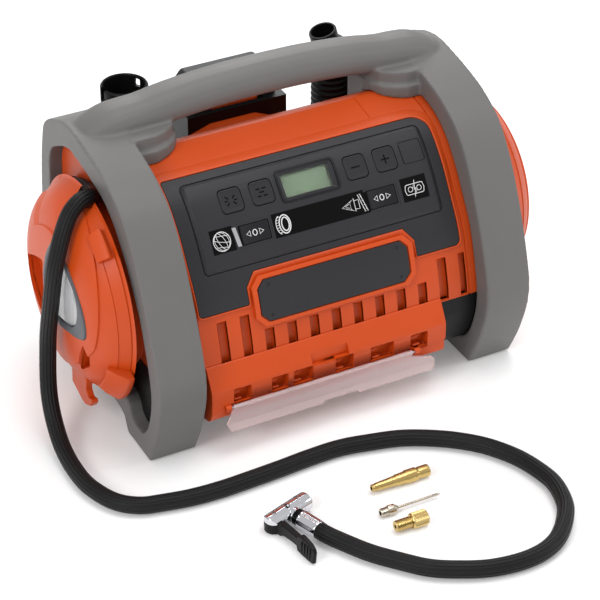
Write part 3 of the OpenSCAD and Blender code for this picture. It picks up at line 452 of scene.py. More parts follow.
def flow(P, n):
    P = np.asarray(P, float)
    m = len(P) - 1
    out = []
    for i in range(m):
        a, b, c, d = P[max(i - 1, 0)], P[i], P[i + 1], P[min(i + 2, m)]
        for k in range(n):
            t = k / n
            out.append(0.5 * (2 * b + (c - a) * t + (2 * a - 5 * b + 4 * c - d) * t * t + (3 * b - a - 3 * c + d) * t ** 3))
    out.append(P[m])
    return np.array(out)


# ------------------------------------------------------------------ curves of the body
hoop_out_ctl = [[-74, 0], [-86, 25], [-94, 50], [-95.5, 68], [-92, 84], [-84.5, 106], [-74.5, 130], [-62, 154],
    [-46, 174], [-27, 185.5], [-9, 191.5], [12, 196], [34, 199], [51, 197], [64, 192], [76, 186], [84, 178],
    [88, 166], [92, 148], [95.5, 122], [97, 95], [96, 60], [91, 28], [84, 0]]
front_ctl = [[-63, 16.8], [-68.5, 22.5], [-73.5, 30.5], [-78.5, 46], [-79.5, 55], [-79, 66.5], [-75, 84],
    [-66.5, 110], [-53, 133], [-42, 149.5], [-28, 164.5], [-13, 173], [4, 177], [20, 180]]
back_ctl = [[33, 182], [45, 180], [60, 173], [71, 165.5], [76, 155], [77.5, 140], [79.5, 120], [81, 100],
    [81.5, 75], [80.5, 52], [77, 30], [70.5, 16.8]]
belly = [[60, 16.8], [56, 20], [53, 26], [48, 31], [40, 32.4], [-30, 32.4], [-38, 31], [-42.5, 26.5], [-45, 20], [-51, 16.8]]
HX1, HX0, BX, DX = 140.0, 106.2, 104.0, 131.0
AY, AZ = 5.8, 96.2

FINE = flow(front_ctl, 24)
FS = np.concatenate([[0], np.cumsum(np.linalg.norm(np.diff(FINE, axis=0), axis=1))])
S100 = float(np.interp(100, FINE[:, 1], FS))


def s_of(z):
    return float(np.interp(z, FINE[:, 1], FS)) - S100


def front_at(s):
    """Point (Y, Z) and outward normal of the front surface at arc length s from Z = 100."""
    s = np.asarray(s, float) + S100
    y, z = np.interp(s, FS, FINE[:, 0]), np.interp(s, FS, FINE[:, 1])
    e = 0.8
    dy = np.interp(s + e, FS, FINE[:, 0]) - np.interp(s - e, FS, FINE[:, 0])
    dz = np.interp(s + e, FS, FINE[:, 1]) - np.interp(s - e, FS, FINE[:, 1])
    L = np.hypot(dy, dz)
    return y, z, -dz / L, dy / L


def bend(part, step=3.0):
    """Flat part (u along X, s up the front, w outwards) laid on the front surface."""
    me = bpy.data.meshes.new("f")
    me.from_pydata(np.asarray(part[0]).tolist(), [], part[1])
    bm = bmesh.new()
    bm.from_mesh(me)
    lo, hi = min(v.co.y for v in bm.verts), max(v.co.y for v in bm.verts)
    k = math.ceil(lo / step) * step
    while k < hi:
        bmesh.ops.bisect_plane(bm, geom=bm.verts[:] + bm.edges[:] + bm.faces[:], dist=1e-5,
                               plane_co=(0, k + 0.0137, 0), plane_no=(0, 1, 0))
        k += step
    bm.to_mesh(me)
    bm.free()
    v = np.array([x.co[:] for x in me.vertices])
    f = [list(p.vertices) for p in me.polygons]
    bpy.data.meshes.remove(me)
    y, z, ny, nz = front_at(v[:, 1])
    return np.stack([v[:, 0], y + ny * v[:, 2], z + nz * v[:, 2]], 1), f


def plate_at(x, z, parts):
    """Parts drawn in a frame on the front surface (x, up, out) moved to where it stands."""
    s = s_of(z)
    return [(np.asarray(p[0], float) + [x, s, 0], p[1]) for p in parts]




# ------------------------------------------------------------------ carry frame: hoops, handle and webs in one skin
def carry_frame():
    outer = [[p[0], max(p[1], 1.0)] for p in flow(hoop_out_ctl, 8)]
    foot = [[56, 1], [53, 6], [49, 12], [42, 14.5], [30, 15], [-13, 15], [-26, 14.5], [-33, 12], [-35.5, 6], [-38.5, 1]]
    outer += [list(p) for p in round_poly(foot, [0, 6, 6, 6, 0, 0, 6, 6, 6, 0])]
    ring = [list(p) for p in flow(front_ctl + back_ctl, 8)] + belly
    # the ring runs up the front and down the back: clockwise seen from +X, so it is turned round
    hole = grow(ring[::-1], 0.35)
    hole_big = hole
    parts = []
    for s in (-1, 1):
        a, b = (HX0, HX1) if s > 0 else (-HX1, -HX0)
        parts.append(cut([prism(outer, a, b, 0)], [prism(hole_big, a - 3, b + 3, 0)]))
    # handle: a rounded grip whose underside is flatter, with a soft edge low on the front and back
    sec = [[0, 12.6], [-5.5, 12.1], [-10.2, 10.3], [-13.6, 7.2], [-15.6, 3.2], [-16, -0.8], [-15.4, -4.2], [-14.3, -6.6],
           [-12.2, -8.3], [-9, -10.6], [-5, -12.1], [0, -12.5]]
    sec = sec + [[-y, z] for y, z in sec[-2:0:-1]]
    ctl = [[0, 205.5, 1], [35, 204.7, 1], [68, 202, 1], [90, 198.5, 1], [104, 197, 1.05], [116, 195.2, 1.07], [128, 191.5, 1.0], [137, 186.5, 0.86]]
    mid = flow(ctl, 4)
    line = np.concatenate([mid[::-1] * [-1, 1, 1], mid[1:]])
    rings = [[[q[0], 35 + y * q[2], q[1] + z * q[2]] for y, z in sec] for q in line]
    parts.append(clean(loft([r[::-1] for r in rings])))
    # webs under the handle: a boss with a stepped top and a rounded front
    body = [list(p) for p in flow(front_ctl, 8)] + [[26, 177.8], [34, 170.4], [48, 152.4], [60, 130], [60, 60], [-40, 60]]
    for s in (-1, 1):
        def plan(inset, top0, top1):
            p = [[HX0 + 2, 3 + inset], [97, 3 + inset], [88, 6.5 + inset], [80.5, 12.5 + inset], [76 + inset * 0.6, 20 + inset],
                 [74.5 + inset * 0.6, 28], [74.5 + inset * 0.6, 50 - inset], [HX0 + 2, 52 - inset]]
            if s < 0:
                p = [[x - 5.5 if x < 97.5 else x, y] for x, y in p]
            p = [[s * x, y] for x, y in p]
            return prism(p, top0, top1)
        low = plan(0, 160, 186.5)
        high = plan(3.2, 186, 196)
        cutter = prism(grow(body[::-1], 0.0), -150, 150, 0)
        parts.append(cut([low], [cutter]))
        parts.append(high)
    o = temp(parts)
    m = o.modifiers.new("r", "REMESH")
    m.mode = "VOXEL"
    m.voxel_size = 1.05
    m.adaptivity = 0
    sm = o.modifiers.new("s", "SMOOTH")
    sm.factor, sm.iterations = 0.5, 4
    d = o.modifiers.new("d", "DECIMATE")
    d.decimate_type = "COLLAPSE"
    d.ratio = 0.35
    part = evaluated(o)
    drop(o)
    o = obj_from("carry_frame", *part)
    o.data.shade_smooth()
    return finish_mesh(o, "grey", replaces=("left_hoop", "right_hoop", "handle_upper", "handle_lower"), wn=False)


# ------------------------------------------------------------------ orange front shell
XS_BUTTON = [-58.5, -36, 34, 56.5]
XS_ROCKER = [-48.5, 46.5]
ZB, ZR = 158.5, 139.8
S_TOP = float(np.interp(17, FINE[:, 0], FS)) - S100


def windows(extra, w0, w1):
    out = []
    for x in XS_BUTTON:
        out += plate_at(x, ZB, [prism(rrect(16 + extra, 16 + extra, 3.4), w0, w1)])
    for x in XS_ROCKER:
        out += plate_at(x, ZR, [prism(rrect(24.3 + extra, 15.5 + extra, 0.8, 2), w0, w1)])
    return out


def panel_outline(d=0.0):
    s = s_of
    p = [[-99.3, s(100.2)], [-63.2, s(100.2)], [-63.2, s(111)], [-56, s(119.4)], [56, s(119.4)], [63.2, s(111)],
         [63.2, s(100.2)], [97, s(100.2)], [97, s(172.4)], [-99.3, s(172.4)]]
    q = round_poly(p, [3, 1, 1, 1, 1, 1, 1, 4, 12, 2.2], 8)
    return q if d == 0 else grow(q, d)


def front_shell():
    s0, st = s_of(63.1), S_TOP
    slab = prism([[-BX, s0], [BX, s0], [BX, st], [-BX, st]], -2.5, 0)
    cuts = []
    # grooves of the rim next to the hoops
    for x in (-101.2, 101.2):
        cuts.append(prism([[x - 0.35, -1.0], [x + 0.35, -1.0], [x + 0.8, 0.6], [x - 0.8, 0.6]], s0 - 5, st + 5, 1))
    cuts = [(v, f) for v, f in cuts]
    # parting groove over the top, right of the middle
    y_seam0 = float(np.interp(-8, FINE[:, 0], FS)) - S100
    cuts.append(prism([[61.6, -0.5], [62.2, -0.5], [62.5, 0.6], [61.3, 0.6]], y_seam0, st + 5, 1))
    shell = cut([slab], cuts + windows(0.9, -6, 3) + plate_at(-2, ZB, [prism(rrect(41.0, 21.0, 0.8), -6, 3)]) + [q for x in XS_ROCKER for q in plate_at(x, ZR, [prism(rrect(27.4, 18.0, 0.8), -6, 3)])])
    # thick zone with the louvres
    zone = prism([[-101, s_of(64)], [101, s_of(64)], [101, s_of(97)], [-101, s_of(97)]], -9, -0.4)
    lou, slots = [], []
    pitch = 16.6
    for i in range(12):
        a = -97.5 + pitch * i
        tall = i < 2 or i > 9
        z1 = s_of(94) if tall else s_of(81)
        e = a + pitch if i < 11 else a + pitch - 2
        lo = s_of(63.9)
        tall_top = 2.6
        rec = loft([[[a + 9.6, lo, 0.8], [e, lo, 0.8], [e, lo, -4.6], [a + 9.6, lo, -4.6]],
                    [[a + 9.6, z1 - tall_top, 0.8], [e, z1 - tall_top, 0.8], [e, z1 - tall_top, -4.6], [a + 9.6, z1 - tall_top, -4.6]],
                    [[a + 9.6, z1 + 0.6, 0.8], [e, z1 + 0.6, 0.8], [e, z1 + 0.4, 0.2], [a + 9.6, z1 + 0.4, 0.2]]])
        lou.append(clean(rec))
        slots.append(cube(a + 10.0, a + 11.6, s_of(67.5), z1 - 4, -12, -3))
    both = cut([shell], lou)
    zone = cut([zone], lou)
    zone = cut([zone], slots)
    parts = [bend(rounded(both, 0.45, 2)), bend(rounded(zone, 0.3, 1))]
    # raised lip that slopes down to the shell around the panel
    inner = panel_outline(0.35)
    zz = np.interp(inner[:, 1] + S100, FS, FINE[:, 1])
    wide = 1.4 + np.clip((zz - 104) / 10, 0, 1) * 3.9 + np.clip((zz - 168) / 3, 0, 1) * 3.4
    outer = grow(inner, wide)
    outer[:, 0] = np.clip(outer[:, 0], -103.6, 103.6)
    mid = grow(inner, 0.55)
    def lift(p, w):
        return np.column_stack([p, np.full(len(p), w)])
    ringp = clean(loft([lift(inner, -0.6), lift(inner, 1.45), lift(mid, 1.8), lift(grow(inner, wide - 0.7), 0.35), lift(outer, -0.15), lift(outer, -0.6), lift(inner, -0.6)], (False, False)))
    parts.append(bend(ringp))
    # octagonal surround of the name plate, with a soft edge and a recess
    oc = [[-60.5, -17.5 + 7], [-54, -17.5], [54, -17.5], [60.5, -10.5], [60.5, 11], [54.5, 17.5], [-54.5, 17.5], [-60.5, 11]]
    ic = [[-56.8, -9.1], [-51.1, -14.7], [51.1, -14.7], [56.8, -9.1], [56.8, 9.3], [51.6, 14.7], [-51.6, 14.7], [-56.8, 9.3]]
    oc, ic = round_poly(oc, 1.6), round_poly(ic, 1.6)
    sur = cut([prism(oc, -1.5, 3.0)], [prism(ic, 1.2, 6)])
    parts.append(bend(rounded(sur, 0.7, 3)))
    o = obj_from("front_shell", *raw(parts))
    return finish_mesh(o, "orange", replaces=("front_housing",))


def name_plate():
    pc = round_poly([[-56, -8.8], [-50.7, -14.1], [50.7, -14.1], [56, -8.8], [56, 9], [51.2, 14.1], [-51.2, 14.1], [-56, 9]], 1.3)
    pins = [prism(arc(x, y, 1.1, 0, 345, 23), 1.9, 3.6) for x in (-48.5, 48.5) for y in (-10.2, 10.2)]
    plate = cut([prism(pc, 1.2, 2.5)], pins)
    o = obj_from("name_plate_bare", *bend(rounded(plate, 0.3, 2)))
    return finish_mesh(o, "panel", replaces=("name_plate",))


def panel():
    base = prism(panel_outline(), -0.4, 1.2)
    # raised field with sloping sides
    s = s_of
    f0 = round_poly([[-88.8, s(123.6)], [88.6, s(123.6)], [88.6, s(169.4)], [-88.8, s(169.4)]], [2.4, 2.4, 3.5, 3.5], 5)
    f1 = grow(f0, -2.3)
    def lift(p, w):
        return np.column_stack([p, np.full(len(p), w)])
    field = loft([lift(f0, 0.2), lift(f0, 1.25), lift(f1, 2.75)])
    lcd = plate_at(-2, ZB, [loft([lift(np.array(rrect(35.4, 15.8, 1.0)), -2), lift(np.array(rrect(35.4, 15.8, 1.0)), 1.3), lift(np.array(rrect(41.4, 19.6, 2.4)), 2.95)])])
    grooves = [plate_at(77, 158.8, [cut([prism(rrect(16.8, 15.6, 1.8), 2.1, 4)], [prism(rrect(15.2, 14.0, 1.2), 0, 5)])])[0]]
    holes = windows(0.7, -3, 6) + lcd + grooves
    holes += plate_at(86.6, 168.6, [prism(arc(0, 0, 1.3, 0, 345, 23), 1.9, 5)])
    pocket = [prism([[-35, s(133)], [36.6, s(133)], [36.6, s(146.6)], [-35, s(146.6)]], 2.2, 4),
              prism([[-80.3, s(133)], [-63.6, s(133)], [-63.6, s(146.6)], [-80.3, s(146.6)]], 2.2, 4),
              prism([[61.8, s(133)], [81.4, s(133)], [81.4, s(146.6)], [61.8, s(146.6)]], 2.2, 4)]
    b = cut([base], windows(0.7, -3, 6) + [lcd[0]])
    b = cut([b], [cut([prism(grow(f0, 0.75), 0.35, 2)], [prism(grow(f0, 0.05), 0, 3)])])
    fl = cut([field], holes + pocket)
    # soft outer edge of the panel
    parts = [bend(rounded(b, 0.6, 3)), bend(rounded(fl, 0.22, 2))]
    o = obj_from("panel_face", *raw(parts))
    return finish_mesh(o, "panel", replaces=("control_panel",))


def strips():
    s = s_of
    parts = []
    for a, b in ((-34.6, 36.2), (-79.9, -64.0), (62.2, 81.0)):
        parts.append(bend(prism([[a, s(133.3)], [b, s(133.3)], [b, s(146.3)], [a, s(146.3)]], 2.1, 2.62)))
    frame = cut([rounded(prism(rrect(43.8, 22.0, 3.0), 1.7, 3.7), 0.35, 2)], [prism(rrect(40.8, 19.2, 2.2), 0, 5)])
    o = obj_from("lcd_surround", *bend(plate_at(-2, ZB, [frame])[0]))
    finish_mesh(o, "rocker")
    o = obj_from("icon_windows", *raw(parts))
    return finish_mesh(o, "gloss", replaces=("icon_strip",))


def ribbon(pts, width, w, closed=False, thick=0.12):
    """A flat printed line through points (u, v), on the surface at height w."""
    p = np.asarray(pts, float)
    n = len(p)
    out_l, out_r = [], []
    for i in range(n):
        a = p[(i - 1) % n] if closed or i > 0 else p[i]
        c = p[(i + 1) % n] if closed or i < n - 1 else p[i]
        t = c - a
        t = t / max(np.linalg.norm(t), 1e-9)
        nn = np.array([-t[1], t[0]]) * width / 2
        out_l.append(p[i] + nn)
        out_r.append(p[i] - nn)
    V = []
    for i in range(n):
        V += [[*out_l[i], w], [*out_r[i], w], [*out_r[i], w - thick], [*out_l[i], w - thick]]
    Fc = []
    m = n if closed else n - 1
    for i in range(m):
        a, b = 4 * i, 4 * ((i + 1) % n)
        for k in range(4):
            Fc.append([a + k, a + (k + 1) % 4, b + (k + 1) % 4, b + k])
    if not closed:
        Fc.append([0, 3, 2, 1])
        e = 4 * (n - 1)
        Fc.append([e, e + 1, e + 2, e + 3])
    return clean((V, Fc), 1e-6)


def ell(cx, cy, rx, ry, n=28, a0=0, a1=360, tilt=0.0):
    out = []
    c, s_ = math.cos(math.radians(tilt)), math.sin(math.radians(tilt))
    full = abs(a1 - a0) >= 359
    for k in range(n if full else n + 1):
        a = math.radians(a0 + (a1 - a0) * k / n)
        x, y = rx * math.cos(a), ry * math.sin(a)
        out.append([cx + c * x - s_ * y, cy + s_ * x + c * y])
    return out


def icons():
    """Plain line symbols for what each key and window stands for."""
    L = []
    size = [1.0]
    def line(x, z, pts, width=0.42, closed=False):
        s = s_of(z)
        L.append(bend(ribbon([[x + a * size[0], s + b * size[0]] for a, b in pts], width, 2.7, closed)))
    # tyre, left end of the long window
    cx, cz = -27.6, 139.8
    size[0] = 1.08
    line(cx, cz, ell(1.0, 0, 3.7, 5.6), 0.75, True)
    line(cx, cz, ell(1.3, 0, 2.4, 4.1), 0.75, True)
    line(cx, cz, ell(-1.6, 0, 3.3, 5.6, 18, 100, 260), 0.5)
    for k in range(-3, 4):
        zz = k * 1.55
        line(cx, cz, [[-1.6 - 3.3 * math.sqrt(max(0, 1 - (zz / 5.6) ** 2)), zz], [0.2 - 2.6 * math.sqrt(max(0, 1 - (zz / 5.6) ** 2)), zz + 0.3]], 0.3)
    # nozzle, right end of the long window
    cx, cz = 25.4, 139.6
    size[0] = 1.12
    line(cx, cz, [[-8.2, 0], [-2.6, 2.5], [-2.6, -2.5]], 0.42, True)
    line(cx, cz, [[-2.6, 2.2], [0.2, 3.9], [0.2, -3.9], [-2.6, -2.2]], 0.42)
    line(cx, cz, [[0.2, 2.4], [3.2, 2.8], [3.2, -2.8], [0.2, -2.4]], 0.42)
    line(cx, cz, [[-6.2, 0.3], [-3.2, 1.3]], 0.3)
    line(cx, cz, [[-5.6, -0.3], [-3.2, -1.1]], 0.3)
    line(cx, cz, [[3.4, 5.4], [5.0, 5.4], [8.0, -5.2], [6.2, -5.2]], 0.42, True)
    for k in range(4):
        line(cx, cz, [[4.6 + k * 0.75, 3.8 - k * 2.5], [5.6 + k * 0.72, 3.6 - k * 2.5]], 0.3)
    # ball with a bar, far left
    cx, cz = -72.6, 139.6
    size[0] = 1.12
    line(cx, cz, ell(0, 0, 5.4, 5.6), 0.5, True)
    line(cx, cz, ell(0, 0, 2.0, 5.5, 22, 0, 360, 24), 0.32, True)
    line(cx, cz, ell(0, 0, 4.3, 5.5, 22, 0, 360, 24), 0.3, True)
    line(cx, cz, [[-5.2, 1.6], [-2, 0.2], [2, -0.9], [5.3, -1.2]], 0.32)
    line(cx, cz, [[-4.6, -2.9], [-1.2, -3.2], [3.6, -4]], 0.3)
    line(cx, cz, [[-4.2, 3.6], [-0.5, 3.2], [4.4, 2.8]], 0.3)
    # battery and bolt, far right
    cx, cz = 71.6, 139.6
    size[0] = 1.0
    line(cx, cz, round_poly([[-6.4, -3.4], [6.4, -3.4], [7.2, 0], [6.4, 3.4], [-6.4, 3.4], [-7.2, 0]], 1.2).tolist(), 0.45, True)
    line(cx, cz, ell(-3.2, 0, 1.7, 1.7, 16), 0.4, True)
    line(cx, cz, ell(3.4, 0, 1.7, 1.7, 16), 0.4, True)
    line(cx, cz, [[0.9, 5.8], [-1.2, 0.5], [0.9, 0.6], [-0.9, -5.8], [1.9, -0.6], [-0.2, -0.8]], 0.5, True)
    # short dashes under the windows
    for x in (-23.5, -9.5, 4.0, 17.6, 31.0):
        for k, (d, w) in enumerate(((-3.0, 1.6), (-0.9, 1.2), (0.9, 0.9), (2.9, 1.9))):
            line(x + d, 129.6, [[-w / 2, 0], [w / 2, 0]], 0.34 if k % 2 else 0.5)
    o = obj_from("window_symbols", *raw(L))
    finish_mesh(o, "white", wn=False)
    # slanted light bar beside the ball
    s = s_of(139.8)
    bar = bend(prism([[-64.0, s + 6.4], [-61.3, s + 6.4], [-61.3 + 1.6, s - 6.4], [-64.0 + 1.6, s - 6.4]], 2.1, 2.95))
    o = obj_from("window_side_bar", *bar)
    finish_mesh(o, "silver", wn=False)


def keys():
    marks = {
        "mode_button": [[[-3.4, 3.2], [-1.4, 1.2]], [[3.4, 3.2], [1.4, 1.2]], [[-3.4, -3.2], [-1.4, -1.2]], [[3.4, -3.2], [1.4, -1.2]], [[-4.4, 0], [-2.2, 0]], [[2.2, 0], [4.4, 0]]],
        "unit_button": [[[-3.6, 2.6], [-0.8, 2.6]], [[0.8, 2.6], [3.6, 2.6]], [[-3.6, -2.4], [-0.8, -2.4]], [[0.8, -2.4], [3.6, -2.4]], [[-1.8, 0.2], [1.8, 0.2]]],
        "minus_button": [[[-3.2, 0], [3.2, 0]]],
        "plus_button": [[[-3.2, 0], [3.2, 0]], [[0, -3.2], [0, 3.2]]],
    }
    body = {"mode_button": "mode_key", "unit_button": "unit_key", "minus_button": "minus_key", "plus_button": "plus_key"}
    for x, name in zip(XS_BUTTON, marks):
        outl = np.array(rrect(16, 16, 3.2))
        def ring(d, w):
            q = grow(outl, -d)
            return np.column_stack([q, np.full(len(q), w)])
        # straight sides, a soft shoulder and a slightly dished top with a raised edge line
        parts = [clean(loft([ring(0, -5.6), ring(0, 2.4), ring(0.25, 2.65), ring(0.7, 2.75), ring(1.2, 2.72), ring(1.8, 2.6), ring(2.7, 2.55)]))]
        lines = [ribbon(seg, 0.85, 2.72, False, 0.3) for seg in marks[name]]
        y, z, ny, nz = (float(t) for t in front_at(s_of(ZB)))
        # frame on the surface: x, up (0, nz, -ny) turned, out (0, ny, nz)
        up = np.array([0, nz, -ny])
        if up[2] < 0:
            up = -up
        R = np.column_stack([[1, 0, 0], up, [0, ny, nz]])
        o = obj_from(name + "_cap", *moved(raw(parts), R, (x, y, z)))
        finish_mesh(o, "key", body[name], (name,))
        o = obj_from(name + "_mark", *moved(raw(lines), R, (x, y, z)))
        finish_mesh(o, "gloss", body[name], wn=False)


def on_front(parts, x, z):
    y, zz, ny, nz = (float(t) for t in front_at(s_of(z)))
    up = np.array([0, nz, -ny])
    if up[2] < 0:
        up = -up
    R = np.column_stack([[1, 0, 0], up, [0, ny, nz]])
    return moved(raw(parts), R, (x, y, zz))


def rockers():
    for x, node, body in ((XS_ROCKER[0], "high_rocker", "high_switch"), (XS_ROCKER[1], "lp_rocker", "lp_switch")):
        prof = [[-10.0, -6], [10.0, -6], [10.4, -1.2]]
        prof += [[10.45, 1.4], [10.2, 3.2], [9.5, 3.6], [4.4, 2.5], [0, 2.35], [-4.4, 2.5], [-9.5, 3.6], [-10.2, 3.2], [-10.45, 1.4], [-10.4, -1.2]]
        key = prism([[a, b] for a, b in prof], -6.2, 6.2, 1)
        # prism axis 1 is drawn along y: x, z outline; that is x across and out, drawn up the panel
        cap = rounded(key, 0.5, 3, 25)
        o = obj_from(node + "_cap", *on_front([cap], x, ZR))
        finish_mesh(o, "rocker", body, (node,))
        def h(u):
            return float(np.interp(abs(u), [0, 4.4, 9.5], [2.35, 2.5, 3.6])) + 0.16
        def lay(pts, closed):
            v, f = ribbon(pts, 0.55, 0, closed, 0.3)
            v = np.array(v)
            v[:, 2] += [h(u) for u in v[:, 0]]
            return v, f
        marks = [lay(ell(0, 0, 1.5, 1.9, 20), True),
                 lay([[-3.4, 1.8], [-6.2, 0], [-3.4, -1.8]], True), lay([[3.4, 1.8], [6.2, 0], [3.4, -1.8]], True)]
        o = obj_from(node + "_marks", *on_front(marks, x, ZR))
        finish_mesh(o, "white", body, wn=False)


# ------------------------------------------------------------------ CAD pieces kept as they are, with softened edges
def dress(node, mat, bevel=0.4, angle=30, dissolve=1.0, seg=2, smooth=40, weld=True):
    o = N[node]
    o.data.materials.clear()
    o.data.materials.append(M[mat])
    if weld:
        w = o.modifiers.new("weld", "WELD")
        w.merge_threshold = 0.00001
    if dissolve:
        d = o.modifiers.new("flat", "DECIMATE")
        d.decimate_type = "DISSOLVE"
        d.angle_limit = math.radians(dissolve)
    if bevel:
        m = o.modifiers.new("bevel", "BEVEL")
        m.width, m.segments, m.limit_method, m.angle_limit = bevel * 0.001, seg, "ANGLE", math.radians(angle)
        m.use_clamp_overlap = True
    o.data.shade_smooth()
    w = o.modifiers.new("wn", "WEIGHTED_NORMAL")
    w.keep_sharp = False
    w.weight = 100
    return o


# ------------------------------------------------------------------ domed end caps with the lamp
CREASE = [[0, 58], [50, 68.5], [90, 71], [107, 70.9], [135, 66.5], [155, 63], [192, 57], [212, 50], [235, 49], [270, 52], [320, 56], [360, 58]]


def s_at(r):
    return 1 - (r / 75.7) ** (1 / 0.172)


def dome_points(n, plain=False):
    """Outer rings of a dome, x positive, with shallow overlapping steps."""
    out = []
    cr = np.array(CREASE, float)
    for k in range(n):
        phi = 360.0 * k / n
        sc = s_at(61.0 if plain else float(np.interp(phi, cr[:, 0], cr[:, 1])))
        s2 = s_at(48.0)
        win = max(0.0, min(1.0, (phi - 48) / 8, (108 - phi) / 8))          # ring step beside the lamp
        rim = max(0.0, min(1.0, (phi - 126) / 8, (222 - phi) / 8))         # groove in the rim
        sr = s_at(69.6)
        if sc > sr + 0.03:
            outer = [0, 0.25 * sr, 0.5 * sr, 0.8 * sr, sr - 0.006, sr + 0.006] + [sr + 0.006 + (sc - sr - 0.012) * t for t in (0.35, 0.7, 1)]
        else:
            outer = [sc * t for t in (0, 0.12, 0.25, 0.4, 0.55, 0.7, 0.82, 0.92, 0.985)]
            rim = 0.0
        if plain:
            win, rim = 0.0, 1.0
        a = sc + 0.008
        if s2 > a + 0.06:
            mid = [a + (s2 - a) * t for t in (0, 0.08, 0.25, 0.5, 0.8, 1.0)]
        else:
            s2 = a + 0.3 * (0.97 - a)
            mid = [a + (s2 - a) * t for t in (0, 0.08, 0.25, 0.5, 0.8, 1.0)]
            win = 0.0
        inner = [s2 + 0.006 + (0.9995 - s2 - 0.006) * t for t in (0, 0.12, 0.3, 0.5, 0.68, 0.82, 0.91, 0.96, 0.985, 1.0)]
        col = []
        for j, s in enumerate(outer + mid + inner):
            r, x = 75.7 * (1 - s) ** 0.172, 143.9 + 26.3 * s
            dr = -0.172 * 75.7 * (1 - s) ** (0.172 - 1)
            L = math.hypot(26.3, dr)
            d = 0.0
            if j < 9:
                d -= (0.9 if plain else 1.5) * min(1, s / 0.05)
                if j < 5:
                    d -= (0.6 if plain else 1.1) * rim * min(1, s / 0.1)
            elif j < 15:
                d -= 1.5 * win
            col.append((r + d * 26.3 / L, x - d * dr / L))
        out.append(col)
    return out


def dome_solid(plain=False):
    n = 288
    pts = dome_points(n, plain)
    rings = []
    m = len(pts[0])
    prof = [(0.5, 167.6), (20, 167.5), (38, 166.4), (50, 164.6), (58, 161.5), (64, 157), (68.5, 152), (71.5, 147.4), (72.4, 145.9), (61, 145.9), (61, 143.9)]
    def ring(col):
        return [[c[1], AY + c[0] * math.cos(2 * math.pi * k / n), AZ + c[0] * math.sin(2 * math.pi * k / n)] for k, c in enumerate(col)]
    rings.append([[170.2, AY + 0.5 * math.cos(2 * math.pi * k / n), AZ + 0.5 * math.sin(2 * math.pi * k / n)] for k in range(n)])
    for j in range(m - 1, -1, -1):
        rings.append(ring([pts[k][j] for k in range(n)]))
    for r, x in prof[::-1]:
        rings.append(ring([(r, x)] * n))
    return clean(loft(rings), 1e-3)


def polar_block(section, a0, a1, n=10):
    """A (radius, x) section carried round the axis from angle a0 to a1, in degrees."""
    rings = []
    for k in range(n + 1):
        t = math.radians(a0 + (a1 - a0) * k / n)
        rings.append([[x, AY + r * math.cos(t), AZ + r * math.sin(t)] for r, x in section])
    return clean(loft(rings))


def tube_line(P, r, n=24, up=(1, 0, 0), radial=None, caps=(True, True)):
    """A tube along the points P; r is one radius or one for each point."""
    P = np.asarray(P, float)
    rr = r if hasattr(r, "__len__") else [r] * len(P)
    T = np.zeros_like(P)
    T[1:-1] = P[2:] - P[:-2]
    T[0], T[-1] = P[1] - P[0], P[-1] - P[-2]
    T /= np.linalg.norm(T, axis=1)[:, None]
    u = np.array(up, float)
    rings = []
    for i in range(len(P)):
        u = u - T[i] * float(u @ T[i])
        u /= np.linalg.norm(u)
        v = np.cross(T[i], u)
        ring = []
        for k in range(n):
            a = 2 * math.pi * k / n
            q = rr[i] if radial is None else radial(a, rr[i])
            ring.append(P[i] + q * (math.cos(a) * u + math.sin(a) * v))
        rings.append(ring)
    return loft(rings, caps)


def mirrored(part):
    v = np.asarray(part[0], float) * [-1, 1, 1]
    return v, [list(f)[::-1] for f in part[1]]


LEAF = flow([[1.6, 141], [9, 131], [15, 119], [19.2, 106], [19.4, 94], [14.5, 84], [5, 78.6], [-8, 79.2], [-22, 82.4],
    [-35, 85.4], [-42.6, 89.6], [-44, 98], [-41, 109.5], [-33.2, 121.5], [-22, 131.5], [-9.6, 138.4], [1.6, 141]], 6)[:-1]
LEAF = LEAF if poly_area(LEAF) > 0 else LEAF[::-1]


def leaf_pts(d):
    """The lamp outline moved inwards by d."""
    return grow(LEAF, -d)


LEAF_IN = flow([[0.4, 136.6], [6.2, 129], [11.8, 117.5], [15.8, 105.4], [16, 95], [12.2, 86.6], [4.2, 82.2], [-7.5, 82.8], [-19, 86],
    [-27.5, 91], [-32.6, 97.5], [-34.8, 104.5], [-34.2, 112], [-29.6, 120.5], [-20, 128.6], [-9, 134.6], [0.4, 136.6]], 6)[:-1]
LEAF_IN = LEAF_IN if poly_area(LEAF_IN) > 0 else LEAF_IN[::-1]


def lens_pts(d):
    """The lens outline moved inwards by d."""
    return grow(LEAF_IN, -d)


VENT = [[60, 97.5], [50, 103], [38, 109], [27, 113.2], [20.5, 114.6], [22.8, 104], [23.4, 92], [21.4, 81], [17, 73.4], [24, 66.6], [36, 68.4], [46, 76.6], [56, 85], [60.5, 91]]
SLIT = [[-38.6, 82.5], [-42.0, 75.5], [-37.6, 63], [-23, 51.5], [-28, 62.5], [-32.6, 72]]


